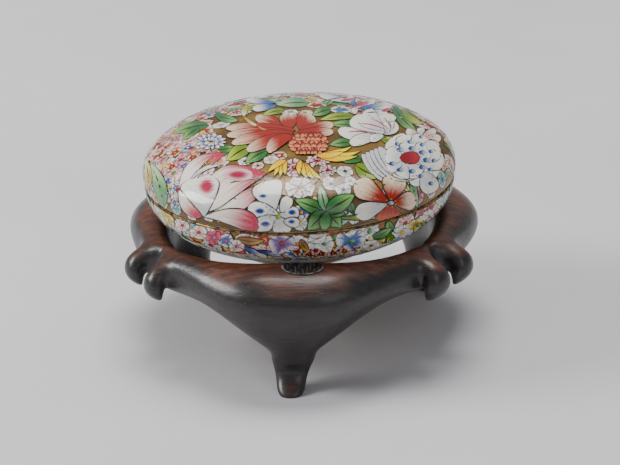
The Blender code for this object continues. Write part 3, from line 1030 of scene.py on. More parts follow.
def base_shell_profile():
    """Radius and height of the base from its inner pole over the lip to its outer pole."""
    lip_out = BOX_RADIUS - LID_WALL - LIP_CLEARANCE
    lip_in = lip_out - LIP_WALL
    inner = base_profile(BASE_WALL, INSIDE_STEPS)[::-1]
    outer = base_profile(0.0, SHELL_STEPS)
    corners = [(lip_in, LIP_HEIGHT), (lip_out, LIP_HEIGHT)]
    start = outer[SIDE_START]
    lip = [rounded_corner(inner[-1], corners[0], corners[1], LIP_ROUNDING),
           rounded_corner(corners[0], corners[1], (lip_out, 0.0), LIP_ROUNDING), [(lip_out, 0.0)],
           rounded_corner((lip_out, 0.0), (SEAM_RADIUS, 0.0), start, LIP_ROUNDING)]
    ring_out = FOOT_RING_RADIUS + FOOT_RING_WIDTH / 2
    ring_in = FOOT_RING_RADIUS - FOOT_RING_WIDTH / 2
    ring_z = -BASE_DROP - FOOT_RING_HEIGHT
    under = -BASE_DROP + FOOT_RING_HEIGHT / 2
    start_z = -BASE_DROP * float(bulge(ring_out / SEAM_RADIUS, BASE_ROUNDNESS))
    side = outer[(outer[:, 0] > ring_out) & (outer[:, 1] < start[1])]
    foot = [[(ring_out, start_z)],
            rounded_corner((ring_out, start_z), (ring_out, ring_z), (ring_in, ring_z), RIM_ROUNDING),
            rounded_corner((ring_out, ring_z), (ring_in, ring_z), (ring_in, under), RIM_ROUNDING),
            [(ring_in, under), (0.0, under)]]
    return np.concatenate([inner] + lip + [side] + foot)


GILT_BAND = 0.5 * MM
GILT_REACH = 0.6 * MM
UNDER_RIM = 1.2 * TOUCH_GAP
UNDER_DOME = 0.3 * MM


def lid_finish_of_face(radius, height):
    """Ground outside, gilding on the rim, white glaze inside."""
    inside = lid_radius(np.maximum(height, 0.0)) - 0.5 * LID_WALL > radius
    below = height < LID_WAIST + (LID_RISE - LID_WAIST - 0.5 * LID_WALL) * bulge(
        radius / BOX_RADIUS, LID_ROUNDNESS) - UNDER_DOME
    kinds = np.where((inside & below) | (height < UNDER_RIM), 2, 0)
    return np.where((height < GILT_BAND) & (radius > BOX_RADIUS - GILT_REACH), 1, kinds)


def base_finish_of_face(radius, height):
    """Ground outside, gilding under the seam, white glaze inside and on the lip, bare clay on
    the foot ring."""
    depth = BASE_DROP * bulge(radius / SEAM_RADIUS, BASE_ROUNDNESS)
    inside = height > -depth + 0.5 * BASE_WALL
    kinds = np.where(inside, 2, 0)
    under = (radius < FOOT_RING_RADIUS + FOOT_RING_WIDTH) & (height < -BASE_DROP + TOUCH_GAP)
    kinds = np.where(under & ~inside, 3, kinds)
    return np.where((height > -GILT_BAND) & (height <= 0.0) & (radius > SEAM_RADIUS - MM), 1, kinds)


def shell_piece(name, profile, materials, choose):
    """A turned shell with faces outwards, each given the material that choose says for the
    middle of the face, from its radius and its height."""
    verts, faces = turned_shell(profile, SHELL_SEGMENTS)
    piece = new_piece(name, box_to_world(verts), faces, materials)
    bm = bmesh.new()
    bm.from_mesh(piece.data)
    bmesh.ops.recalc_face_normals(bm, faces=bm.faces)
    bm.to_mesh(piece.data)
    bm.free()
    mesh = piece.data
    middle = np.empty(len(mesh.polygons) * 3)
    mesh.polygons.foreach_get("center", middle)
    middle = world_to_box(middle.reshape(-1, 3))
    kinds = choose(np.hypot(middle[:, 0], middle[:, 1]), middle[:, 2])
    mesh.polygons.foreach_set("material_index", kinds.astype(np.int32))
    mesh.update()
    return piece


# Enamels: the colour at a petal's root, then at its tip. A blush has its edge's, then its middle's.

WHITE = (240, 240, 236)
ENAMELS = {name: (srgb(*root), srgb(*tip)) for name, root, tip in (
    ("coral", (160, 36, 18), (242, 218, 196)),
    ("coral_full", (162, 40, 24), (206, 92, 62)),
    ("boss", (168, 38, 14), (230, 150, 108)),
    ("crimson", (140, 16, 38), (170, 38, 54)),
    ("pink", (198, 60, 96), (242, 220, 222)),
    ("pink_tip", (242, 234, 232), (190, 40, 78)),
    ("rose", (182, 38, 82), (214, 96, 128)),
    ("white", (206, 206, 216), WHITE),
    ("white_pink", (226, 170, 176), WHITE),
    ("white_blue", (60, 96, 176), WHITE),
    ("blue", (34, 62, 146), (170, 190, 222)),
    ("lilac", (120, 92, 160), (224, 212, 226)),
    ("mauve", (178, 104, 124), (224, 192, 192)),
    ("orange", (206, 92, 24), (238, 178, 96)),
    ("yellow", (250, 188, 0), (255, 232, 0)),
    ("straw", (186, 160, 70), (232, 222, 160)),
    ("green", (46, 114, 56), (124, 180, 104)),
    ("deep_green", (30, 96, 52), (86, 156, 90)),
    ("lime", (112, 146, 24), (180, 204, 66)),
    ("mint", (96, 154, 108), (180, 212, 172)),
    ("sky", (92, 168, 186), (190, 222, 222)),
    ("ochre", (134, 92, 26), (196, 152, 70)),
    ("umber", (60, 36, 16), (90, 58, 26)),
    ("rose_blush", (240, 228, 230), (176, 36, 78)),
    ("deep_rose_blush", (226, 184, 194), (160, 24, 66)),
    ("blue_blush", (226, 230, 236), (20, 46, 134)),
)}
STAMEN_SIZE = 0.28
STAMEN_REACH = 1.35
STAMEN_TURN = 20.0
BLOSSOM_HEART = 0.26
RIB_REACH = 0.86
RIB_WIDTH = 0.1
PEONY_RINGS = ((1.0, 9), (0.7, 7), (0.42, 5))
PEONY_TURN = 22.0
PEONY_HEART = 0.12
# What makes a petal a plain brush stroke
STROKE = {"shape": "lance", "line": 0.0, "veins": 0.0}


def scaled(centre, radii, share, degrees):
    """A point of an ellipse: its centre plus each radius times a share of cosine and sine."""
    turn = math.radians(degrees)
    return (centre[0] + radii[0] * share * math.cos(turn),
            centre[1] + radii[1] * share * math.sin(turn))


def ring_petal(centre, radii, inner, degrees, share):
    """Root, tip and width of one petal of a ring, as wide as a share of the ellipse's turn."""
    turn = math.radians(degrees)
    width = share * math.hypot(radii[0] * math.sin(turn), radii[1] * math.cos(turn))
    return scaled(centre, radii, inner, degrees), scaled(centre, radii, 1.0, degrees), width


def paint_petals(painter, lay, table, rank=3.0, enamel=None, **style):
    """Petals from a table of roots, tips and widths, each row followed by what it has of its own: its
    enamel, unless all share one, then its bend and its shape."""
    labels = ("enamel", "bend", "shape") if enamel is None else ("bend", "shape")
    for root, tip, width, *rest in table:
        own = dict(zip(labels, rest))
        colours = ENAMELS[own.pop("enamel", enamel)]
        painter.petal(lay, root, tip, width, colours, rank, **{**style, **own})


def paint_dot(painter, lay, centre, radii, enamel, rank=4, line=THIN_OUTLINE, size=7, blush=False):
    """A round spot of enamel."""
    painter.petal(lay, (centre[0] - radii[0], centre[1]), (centre[0] + radii[0], centre[1]),
                  2.0 * radii[1], ENAMELS[enamel], rank, shape="oval", veins=0.0, line=line,
                  rows=size, columns=size, blush=blush)


def paint_blush(painter, lay, centre, radii, enamel, rank=4.4):
    """A soft-edged spot, full in its middle and pale at its edge."""
    paint_dot(painter, lay, centre, radii, enamel + "_blush", rank, 0.0, 13, True)


def paint_ring(painter, lay, centre, radii, count, enamel, rank=3, turn=0.0, spread=1.15,
               inner=0.12, shape="round", size=7, **style):
    """A ring of petals round a centre, each as wide as its share of the ring times the spread."""
    for i in range(count):
        place = ring_petal(centre, radii, inner, turn + 360.0 * i / count,
                           spread * 2.0 * math.pi / count)
        painter.petal(lay, *place, ENAMELS[enamel], rank, shape=shape, rows=size, columns=size,
                      **style)


def paint_heart(painter, lay, centre, radii, enamel, stamens=0, rank=4):
    """A flower's heart: a spot with a ring of small stamen heads round it."""
    paint_dot(painter, lay, centre, radii, enamel, rank)
    head = (radii[0] * STAMEN_SIZE, radii[1] * STAMEN_SIZE)
    for i in range(stamens):
        at = scaled(centre, radii, STAMEN_REACH, 360.0 * i / stamens + STAMEN_TURN)
        paint_dot(painter, lay, at, head, "yellow", rank + 1, 0.08)


def paint_blossom(painter, lay, centre, radii, enamel, heart="yellow", count=5, turn=0.0, rank=1,
                  size=6):
    """A small open blossom: one ring of petals and a heart."""
    paint_ring(painter, lay, centre, radii, count, enamel, rank, turn, 1.3, size=size, veins=0.5,
               line=THIN_OUTLINE)
    spot = (radii[0] * BLOSSOM_HEART, radii[1] * BLOSSOM_HEART)
    paint_dot(painter, lay, centre, spot, heart, rank + 1, 0.1)


def paint_leaf(painter, lay, root, tip, width, enamel="green", bend=0.0, rank=2):
    """A leaf with a dark rib down its middle."""
    painter.petal(lay, root, tip, width, ENAMELS[enamel], rank, bend, "pointed", veins=0.7, rows=13)
    rib = tuple(a + RIB_REACH * (b - a) for a, b in zip(root, tip))
    painter.petal(lay, root, rib, width * RIB_WIDTH, ENAMELS["umber"], rank + 0.5, bend, "lance",
                  veins=0.0, line=0.02, rows=7, columns=3)


def paint_peony(painter, lay, centre, radii, enamel, turn=0.0, rank=3):
    """A full peony: three rings of scalloped petals, each smaller and turned from the last."""
    for level, (share, count) in enumerate(PEONY_RINGS):
        reach = (radii[0] * share, radii[1] * share)
        paint_ring(painter, lay, centre, reach, count, enamel, rank + 0.4 * level,
                   turn + PEONY_TURN * level, 1.35, shape="fan", scallops=3, size=9)
    spot = (radii[0] * PEONY_HEART, radii[1] * PEONY_HEART)
    paint_dot(painter, lay, centre, spot, "yellow", rank + 2)


# The lid's painting, front and top. Places and sizes are in pixels of the photograph.

LOTUS_PETALS = (
    ((180, 190), (228, 153.6), 17, "pink_tip", -0.13, "pointed", 2.0),
    ((188, 184), (225, 165.5), 5.0, "white", -0.14, "lance", 3.0),
    ((210, 209), (265, 179), 18, "pink_tip", 0.14, "pointed", 2.0),
    ((205, 210), (267.5, 174.2), 33, "pink_tip", -0.17, "pointed", 3.4),
    ((201, 217), (259, 227.5), 22, "pink_tip", -0.1, "fan", 4.4),
    ((205, 217), (199, 178), 40, "white", 0.0, "fan", 5.4),
    ((180, 190), (202, 217), 12, "pink_tip", 0.12, "oval", 6.4),
    ((229, 184), (263, 179), 2.6, "white", -0.05, "lance", 4.4),
)
LOTUS_SPOTS = (((207, 187), (11.5, 11.0), "rose", 6.4),
               ((238, 175.5), (15.0, 6.0), "deep_rose", 4.6))
CORAL_PETALS = (
    ((288, 129), (255, 117.5), 12.5, 0.03, "oval"),
    ((291, 129), (287, 112.8), 20, 0.0, "round"),
    ((299, 130), (311, 113.8), 21, 0.0, "round"),
    ((299, 131), (334, 125), 11, 0.0, "oval"),
    ((297, 133), (334, 132.5), 10, 0.0, "oval"),
    ((296, 131), (225, 128.8), 10.5, 0.02, "oval"),
    ((294, 133), (226, 136.2), 11, 0.02, "oval"),
    ((294, 134), (231, 144.4), 11.5, 0.04, "oval"),
    ((293, 136), (246, 151.5), 13, 0.04, "oval"),
    ((295, 137), (267, 152.5), 13, 0.12, "round"),
)
CORAL_DEEP = 0.2
CORAL_BOSS = (308.5, 144.5)
CORAL_BOSS_SIZE = (19.5, 8.6)
CORAL_BOSS_ROWS = 6
CORAL_BOSS_SCALES = 6
CORAL_BOSS_TAPER = 0.55
CORAL_BOSS_SWAY = 1.4
CORAL_BOSS_UP = 3.6
CORAL_BOSS_DOWN = 2.6
CORAL_BOSS_SPREAD = 2.9
COBALT_PETALS = (
    ((275, 213), (265, 181.5), 33, 0.0, "fan"),
    ((280, 216), (247.5, 208), 19, 0.0, "round"),
    ((279, 217), (252, 230), 19, 0.0, "round"),
    ((279, 217), (284, 235), 21, 0.0, "round"),
    ((279, 215), (299.5, 212), 14, 0.0, "round"),
    ((281, 213), (290, 197), 14, 0.0, "round"),
    ((283, 221), (300, 223), 12, 0.0, "round"),
)
COBALT_SPOTS = (((260, 211.2), (7.4, 4.4)), ((265.5, 223.6), (7.2, 4.4)),
                ((292, 212.4), (6.6, 4.0)), ((291.5, 221.4), (5.4, 3.2)), ((263, 196.5), (6.0, 3.0)))
COBALT_HEART = ((278, 216.6), (2.8, 2.4))
STAR_LEAF_CENTRE = (325.8, 211.6)
STAR_LEAF_LOBES = (
    ((293.5, 199.5), 15, "green"), ((319.5, 185), 12, "mint"), ((355.5, 194.5), 18, "green"),
    ((307, 230.5), 18, "green"), ((324, 233), 14, "green"), ((342, 228), 17, "green"),
    ((346, 214), 11, "green"),
)
HIBISCUS_CENTRE = (389.8, 203)
HIBISCUS_HEART = (4.2, 2.8)
HIBISCUS_PETALS = (
    ((353.5, 183), 24, "coral"), ((396, 175), 26, "coral"), ((416.5, 200), 20, "coral"),
    ((389, 223.5), 29, "coral_full"), ((354, 215), 19, "white"),
)
CAMELLIA_CENTRE = (408.5, 160.5)
CAMELLIA_RINGS = (((35.5, 25.5), 12, (2.6, 2.0), 2.0), ((25.0, 16.5), 9, (3.8, 2.4), 0.0))
CAMELLIA_GAP = (90.0, 222.0)
CAMELLIA_FOLDS = ((361, 154), (412, 180))
CAMELLIA_FOLD_COUNT = 5
CAMELLIA_FOLD_SLIP = (4.2, -1.7)
CAMELLIA_FOLD_WIDTH = 17.0
CAMELLIA_LAST_PETAL = ((423, 172), (432, 193), 20)
CAMELLIA_LAST_SPOT = ((430, 183.6), (2.8, 2.1))
CAMELLIA_HEART = ((409.5, 158.5), (10.6, 6.6))
WHITE_PEONY_PETALS = (
    ((385, 134), (349, 122), 17, 0.1, "round"),
    ((385, 132), (362, 114), 21, 0.0, "fan"),
    ((385, 132), (386, 113.5), 22, 0.0, "fan"),
    ((382, 134), (398, 125), 13, 0.0, "round"),
    ((386, 134), (368, 122.5), 9, 0.1, "oval"),
    ((388, 134), (385, 121.5), 10, 0.0, "oval"),
    ((382, 136), (337, 131), 13, -0.04, "round"),
    ((381, 136), (349, 144), 12, 0.03, "round"),
    ((384, 136), (369, 140), 9, 0.0, "round"),
)
WHITE_PEONY_STROKES = (
    ((388, 132), (356, 124.5), 1.1), ((389, 131), (369, 119), 1.0),
    ((391, 130), (383, 118), 1.0), ((392, 131), (394, 122), 1.0),
    ((374, 135.5), (347, 133), 1.2),
)
LEAVES = (
    ((209, 125.5), (172.5, 133.8), 11, "green"), ((200, 128), (182, 141), 9, "green"),
    ((215, 114.5), (239, 121), 8.5, "green"), ((218, 150), (236, 147), 8, "green"),
    ((250, 147.5), (226, 161.5), 15, "lime"), ((268, 151), (245, 164), 13, "green"),
    ((352, 143.5), (329, 145.5), 9.5, "green"), ((362, 160), (335, 160.8), 10.5, "green"),
    ((355, 165), (380, 178), 15, "lime"), ((361, 128), (329, 125), 9, "green"),
    ((354, 117), (319, 120.8), 8, "lime"), ((331, 110), (312, 116), 10, "green"),
    ((285, 111), (262, 115.5), 7, "lime"), ((309, 104), (276, 105.5), 10, "mint"),
    ((393, 106), (418, 134), 11, "green"), ((164, 208), (150, 161), 14, "mint"),
    ((413, 177), (418, 209), 9, "mint"), ((402, 181), (410, 193), 8, "straw"),
    ((264, 175), (292, 198), 9, "ochre"), ((345, 178), (333, 186), 9, "ochre"),
    ((318, 172), (312, 186), 9, "ochre"), ((404, 108), (425, 124), 9, "lime"),
    ((148, 190), (146, 158), 8, "straw"), ((262, 107), (240, 113), 5, "lime"),
    ((380, 138), (398, 144), 6, "lime"), ((199, 170), (214, 156), 4.5, "ochre"),
)
STEM_LINE = ((247.5, 105.5), (243.4, 117), (257, 126.5), (281, 134.5))
STEM_WIDTHS = (6.0, 3.6, 2.6)
LIME_STALK = ((337, 218), (380, 217), 6.5)
SPRIGS = (
    ((315, 155.5), ((353, 146.5), (362, 151), (359, 156.5), (345, 152)), 6.6),
    ((286.5, 161), ((267, 174), (273.5, 178), (280, 179), (285.5, 176.5)), 6.4),
    ((301, 160.5), ((323.5, 180), (315.5, 180.5), (308, 180), (299.5, 176.5)), 7.0),
)
SMALL_BLOSSOMS = (
    ((181, 123.5), 10, "coral", "coral_full"), ((199, 119.5), 10, "coral", "orange"),
    ((199.5, 113.5), 8, "coral", "green"), ((214, 111), 7.5, "mauve", "white"),
    ((225, 110), 6.5, "coral", "straw"), ((237.5, 104), 8.5, "coral_full", "crimson"),
    ((236, 112.5), 7, "coral", "orange"), ((221, 125.2), 9, "white", "straw"),
    ((165, 139), 7, "mauve", "orange"), ((176, 145), 7, "white_pink", "orange"),
    ((167, 147), 6, "coral", "orange"), ((158, 152), 6, "white_pink", "orange"),
    ((175, 153), 7.5, "coral", "orange"), ((188, 148), 7, "white_blue", "white"),
    ((163, 160), 6.5, "mauve", "orange"), ((181, 160), 6.5, "mauve", "crimson"),
    ((193, 157.5), 6.5, "coral", "orange"), ((172, 167), 6.5, "coral", "orange"),
    ((184, 166), 6.5, "lilac", "mauve"), ((155, 163), 5, "white_pink", "orange"),
    ((188, 139.5), 6, "white_pink", "orange"), ((178, 137), 5.5, "mauve", "white"),
    ((245, 161.5), 7, "white", "umber"), ((258, 166), 6, "white_pink", "umber"),
    ((271, 160), 7.5, "white", "straw"), ((279, 156), 8, "coral", "white"),
    ((290, 112.5), 8, "white", "green"), ((305, 113), 8, "white", "green"),
    ((341, 110), 11, "white_blue", "green"), ((316.5, 105.3), 10, "coral", "coral_full"),
    ((345, 171.5), 8, "white", "umber"), ((331, 184), 8, "white", "umber"),
    ((343, 189.5), 8, "white", "umber"), ((350, 181), 6, "white", "ochre"),
    ((324, 177), 6, "white_pink", "ochre"), ((401, 118), 8, "white", "straw"),
    ((391, 141), 7, "white", "umber"), ((279.5, 99), 4.6, "white", "umber"),
    ((300, 95.4), 9, "mauve", "umber"), ((168, 181), 5, "white_blue", "blue"),
    ((168, 193), 4.6, "white_blue", "white"), ((176, 188), 5, "white_blue", "white"),
    ((175, 203), 5, "white_blue", "straw"),
)
ROSE_SMALL = (((294, 168), (11.5, 9.5)), ((318, 161), (13, 4.6)), ((328, 170.5), (10, 4)))
WHITE_ROSE = ((300, 188), (16, 10.5))
ASTER = ((211, 142), (17, 8.6))
ASTER_INNER = ((211, 142), (9, 4.8))
NARCISSUS = (((275, 101), (243.5, 98), 6.0), ((277, 106.5), (252, 109.5), 7.5))
LILY_PETALS = (
    ((352, 103), (318, 95.5), 6.0, "white"), ((356, 104), (350, 94), 9.0, "white_blue"),
    ((358, 105), (380, 97), 6.5, "white_pink"), ((360, 107), (395, 104.5), 7.5, "white_blue"),
    ((358, 109), (352, 113), 7.0, "white"), ((362, 109.5), (388, 113), 6.0, "white"),
)
LILY_STROKES = (((340, 101.5), (356, 99), 2.4, "rose"), ((355, 106), (370, 102.5), 3.6, "rose"),
                ((362, 110.5), (383, 106), 1.8, "blue"), ((325, 101), (350, 96.5), 1.2, "blue"),
                ((381, 112), (392, 109), 3.2, "rose"), ((366, 113.4), (380, 112.5), 1.4, "blue"))
EDGE_PETALS = (
    ((420, 137), (405.5, 131), 8, "white_pink"), ((421, 136), (420, 128), 9, "white"),
    ((422, 137), (436, 130.5), 8, "white_pink"), ((424, 139), (441, 139), 9, "white_pink"),
    ((424, 141), (439, 147), 9, "coral"), ((419, 139), (411, 143), 7, "white"),
)
EDGE_HEART = ((420.5, 137.6), (2.2, 1.8))


def paint_boss(painter, lay):
    """The coral heart of the main flower: rows of small ruffled scales, lower rows in front."""
    for row in range(CORAL_BOSS_ROWS):
        drop = 2.0 * row / (CORAL_BOSS_ROWS - 1) - 1.0
        reach = CORAL_BOSS_SIZE[0] * math.sqrt(1.0 - CORAL_BOSS_TAPER * drop * drop)
        count = CORAL_BOSS_SCALES + row % 2
        y = CORAL_BOSS[1] + CORAL_BOSS_SIZE[1] * drop
        for i in range(count):
            x = CORAL_BOSS[0] + reach * (2.0 * (i + 0.5) / count - 1.0)
            sway = CORAL_BOSS_SWAY * math.sin(2.1 * i + 1.3 * row)
            painter.petal(lay, (x - sway, y - CORAL_BOSS_UP), (x + sway, y + CORAL_BOSS_DOWN),
                          CORAL_BOSS_SPREAD * reach / count, ENAMELS["boss"], 5.8 + 0.3 * row,
                          shape="fan", scallops=2, veins=0.3, line=THIN_OUTLINE, rows=7, columns=8)


def paint_camellia(painter, lay):
    """Concentric white petals with cobalt spots round a crimson heart, and long folds on the
    left, each fold a crescent that bows under the next."""
    start, end = (np.array(place, float) for place in CAMELLIA_FOLDS)
    for i in range(CAMELLIA_FOLD_COUNT):
        slip = np.array(CAMELLIA_FOLD_SLIP) * i
        painter.petal(lay, start + slip, end + 0.5 * slip, CAMELLIA_FOLD_WIDTH, ENAMELS["white"],
                      2.6 + 0.2 * i, 0.13 - 0.01 * i, "oval", veins=0.1, rows=13)
    for level, (radii, count, spot, turn) in enumerate(CAMELLIA_RINGS):
        for i in range(count):
            degrees = turn + 360.0 * i / count
            if level == 0 and CAMELLIA_GAP[0] < degrees % 360.0 < CAMELLIA_GAP[1]:
                continue
            place = ring_petal(CAMELLIA_CENTRE, radii, 0.25, degrees, 1.55 * 2.0 * math.pi / count)
            painter.petal(lay, *place, ENAMELS["white"], 3.6 + 0.5 * level, veins=0.1)
            paint_dot(painter, lay, scaled(CAMELLIA_CENTRE, radii, 0.7, degrees), spot, "blue", 4.8,
                      0.0)
    paint_petals(painter, lay, (CAMELLIA_LAST_PETAL,), 4.2, "white", veins=0.1)
    paint_dot(painter, lay, *CAMELLIA_LAST_SPOT, "blue", 4.9, 0.0)
    paint_heart(painter, lay, *CAMELLIA_HEART, "crimson", rank=5.2)


def paint_front_flowers(painter, lay):
    """The large flowers that the photograph shows on the lid."""
    for row in LOTUS_PETALS:
        paint_petals(painter, lay, (row[:-1],), row[-1], veins=0.1, rows=25, columns=25)
    for centre, radii, enamel, rank in LOTUS_SPOTS:
        paint_blush(painter, lay, centre, radii, enamel, rank)
    for i, row in enumerate(CORAL_PETALS):
        paint_petals(painter, lay, (row,), 1.0 + 0.5 * i, "coral", veins=0.8, rows=16, columns=13,
                     deep=CORAL_DEEP)
    paint_boss(painter, lay)
    paint_petals(painter, lay, COBALT_PETALS, 3.0, "white", veins=0.15, rows=11, columns=11)
    for centre, radii in COBALT_SPOTS:
        paint_blush(painter, lay, centre, radii, "blue")
    paint_dot(painter, lay, *COBALT_HEART, "lime", 4.6, 0.04)
    paint_petals(painter, lay, (LIME_STALK,), 2.2, "lime", shape="oval", veins=0.3)
    for tip, width, enamel in STAR_LEAF_LOBES:
        paint_leaf(painter, lay, STAR_LEAF_CENTRE, tip, width, enamel, rank=3.0)
    for tip, width, enamel in HIBISCUS_PETALS:
        painter.petal(lay, HIBISCUS_CENTRE, tip, width, ENAMELS[enamel], 3.0, shape="fan", scallops=2,
                      rows=12, columns=12)
    paint_heart(painter, lay, HIBISCUS_CENTRE, HIBISCUS_HEART, "lilac", 7)
    paint_camellia(painter, lay)
    paint_petals(painter, lay, WHITE_PEONY_PETALS, 3.0, "white", veins=0.3, rows=10, columns=10)
    paint_petals(painter, lay, WHITE_PEONY_STROKES, 4.4, "rose", bend=0.08, **STROKE)


def paint_lid_front(painter, lay):
    """Everything that the photograph shows on the lid."""
    paint_front_flowers(painter, lay)
    for root, tip, width, enamel in LEAVES:
        paint_leaf(painter, lay, root, tip, width, enamel, 0.06)
    stem = zip(STEM_LINE, STEM_LINE[1:], STEM_WIDTHS)
    paint_petals(painter, lay, stem, 4.2, "straw", bend=0.06, shape="oval", veins=0.1, line=0.09)
    for root, tips, width in SPRIGS:
        paint_petals(painter, lay, [(root, tip, width) for tip in tips], 5, "yellow", bend=0.08,
                     shape="pointed", veins=0.0, line=THIN_OUTLINE)
    for centre, reach, enamel, heart in SMALL_BLOSSOMS:
        radii = (reach * PIXEL_MM, reach * PIXEL_MM)
        paint_blossom(painter, lid_seen_at(centre), (0.0, 0.0), radii, enamel, heart, 5,
                      20.0 + centre[0] * 7.0)
    for centre, radii in ROSE_SMALL:
        paint_peony(painter, lay, centre, radii, "pink", 10.0, 1.0)
    paint_peony(painter, lay, *WHITE_ROSE, "white_pink", 30.0, 1.2)
    paint_ring(painter, lay, *ASTER, 14, "white_blue", 2.0, 5.0, 0.9, shape="lance", size=6)
    paint_ring(painter, lay, *ASTER_INNER, 10, "white", 2.4, 0.0, 1.0, shape="lance", size=6)
    paint_petals(painter, lay, NARCISSUS, 3.0, "white_blue", veins=0.3)
    paint_petals(painter, lay, LILY_PETALS, veins=0.4)
    paint_petals(painter, lay, LILY_STROKES, 4.4, **STROKE)
    paint_petals(painter, lay, EDGE_PETALS, veins=0.5)
    paint_dot(painter, lay, *EDGE_HEART, "blue", 4.6, 0.02)


# The base's painting in front, in pixels of the photograph

BASE_BLOSSOMS = (
    ((199, 232), (9, 6), "white_pink", "crimson"), ((214, 237), (8, 6), "rose", "blue"),
    ((226, 240), (8, 6), "white_blue", "rose"), ((183, 225), (7, 6), "white_pink", "crimson"),
    ((281.8, 243), (14, 9), "lilac", "crimson"), ((324, 243.5), (11, 6.5), "white", "green"),
    ((351, 240.5), (16, 8.5), "white_blue", "green"), ((237, 246), (8, 5), "white_pink", "blue"),
    ((402, 232), (9, 6), "white", "yellow"), ((417, 225), (8, 6), "straw", "green"),
    ((429, 216), (7, 6), "white", "rose"), ((371, 245), (9, 5), "white", "ochre"),
)
BASE_LEAVES = (
    ((237, 238), (266, 240), 9, "ochre"), ((300, 239), (310, 252), 9, "ochre"),
    ((338, 239), (334, 249), 6, "ochre"), ((372, 237), (392, 227), 9, "green"),
    ((368, 239), (361, 247), 6, "ochre"), ((222, 244), (212, 242), 5, "green"),
    ((394, 236), (386, 242), 5, "lime"), ((410, 228), (426, 219), 6, "green"),
    ((190, 233), (204, 241), 5, "ochre"),
)
BASE_STRIPED_PETALS = (
    ((242, 246), (268, 257), 6.0, "white_blue"), ((256, 250), (282, 255), 5, "blue"),
    ((228, 246), (246, 253), 5, "rose"),
)
SCALLOP_PLACES = ((297, 251), (309, 253.5), (321, 253.5), (333, 252.5), (345, 250.5), (356, 248.5))


def paint_base_front(painter, lay):
    """What the photograph shows on the base, between the seam and the stand."""
    for root, tip, width, enamel in BASE_LEAVES:
        paint_leaf(painter, lay, root, tip, width, enamel, 0.08)
    paint_petals(painter, lay, BASE_STRIPED_PETALS, shape="oval", veins=0.9)
    for centre, radii, enamel, heart in BASE_BLOSSOMS:
        paint_blossom(painter, lay, centre, radii, enamel, heart, 5, centre[0] * 11.0, 3.0, 7)
    for centre in SCALLOP_PLACES:
        paint_ring(painter, lay, centre, (6.5, 3.2), 5, "coral", 2.5, centre[0] * 5.0, size=6)


# The hidden sides' painting, plainer, in millimetres on the skin

FILL_ENAMELS = ("white", "white_pink", "white_blue", "white", "coral", "mauve", "sky", "straw",
                "white", "pink")
FILL_HEARTS = ("yellow", "orange", "green", "crimson", "umber")
CLUSTER_ENAMELS = ("mauve", "coral", "mauve", "white_pink", "white_pink")
CLUSTER_SPACING = 4.1
CLUSTER_SIZE = 4.9
CLUSTER_LEAF_SHARE = 0.05
# A scattered blossom's place in its stretch, its way off its row and its share of full size
PLACE_RANGE = (0.2, 0.8)
ROW_RANGE = (-0.8, 0.8)
SIZE_RANGE = (0.5, 0.68)
SMALL_LEAF_REACH = 1.3
LEFT_CLUSTER_SPAN = (-100.0, -38.0)
LEFT_CLUSTER_ROWS = (4.0, 7.8, 11.6, 15.4, 19.0)
FRONT_RIM_SPAN = (-98.0, 98.0)
FRONT_RIM_ROWS = (0.6, 3.4)
FRONT_RIM_SIZE = 3.7
FAR_TOP_SPAN = (112.0, 248.0)
FAR_TOP_ROWS = (15.0, 18.8, 22.6, 26.4)
FAR_TOP_SPACING = 5.6
FAR_TOP_SIZE = 4.8
BACK_SPAN = (98.0, 262.0)
BACK_ROWS = (1.0, 4.6, 8.2, 11.8)
BACK_BLOSSOM = 4.6
BASE_SPAN = (0.0, 360.0)
BASE_ROWS = (2.2, 6.0, 9.8, 13.6, 17.4)
BASE_BLOSSOM = 4.8
BACK_LID_FLOWER = 5.2
BACK_BASE_FLOWER = 4.6
BACK_SPACING = 20.0
BACK_FIRST = 112.0
BACK_LAST = 250.0
BACK_LID_LENGTH = 6.6
BACK_BASE_DEPTH = 7.0
BACK_LEAVES = ((60.0, "green"), (125.0, "lime"), (-70.0, "deep_green"))
BACK_LEAF_REACH = 0.9
BACK_LEAF_WIDTH = 0.42
# The back camellia's rings, each a share of its size and a count, and its spots
BACK_RINGS = ((1.0, 10), (0.68, 8))
BACK_RING_TURN = 40.0
BACK_SPOT_SHARE = 0.78
BACK_SPOT = (0.45, 0.35)
# Shares of a back flower's size that its heart takes
MALLOW_HEART = 0.2
DAISY_HEART = 0.25
BACK_CAMELLIA_HEART = 0.3


def paint_scatter(painter, by_azimuth, span, rows, spacing, seed, size, enamels=FILL_ENAMELS,
                  leaf_share=0.2):
    """Small blossoms and leaves in jittered rows round the box, between two azimuths. Rows are
    lengths on the skin, in millimetres."""
    draw = np.random.default_rng(seed)
    around = 2.0 * math.pi * BOX_RADIUS / MM
    for row in rows:
        count = int(round(around * (span[1] - span[0]) / 360.0 / spacing))
        for i in range(count):
            azimuth = span[0] + (span[1] - span[0]) * (i + draw.uniform(*PLACE_RANGE)) / count
            lay = by_azimuth(azimuth, row + draw.uniform(*ROW_RANGE))
            radius = draw.uniform(*SIZE_RANGE) * size
            turn = draw.uniform(0.0, 360.0)
            kind = draw.uniform()
            enamel = enamels[int(draw.integers(len(enamels)))]
            heart = FILL_HEARTS[int(draw.integers(len(FILL_HEARTS)))]
            if kind < leaf_share:
                tip = scaled((0.0, 0.0), (radius, radius), SMALL_LEAF_REACH, turn)
                back = scaled((0.0, 0.0), (radius, radius), -SMALL_LEAF_REACH, turn)
                paint_leaf(painter, lay, back, tip, radius, "green" if i % 2 else "mint", 0.1, 0.5)
            else:
                paint_blossom(painter, lay, (0.0, 0.0), (radius, radius), enamel, heart, 5, turn, 0.0,
                              5)


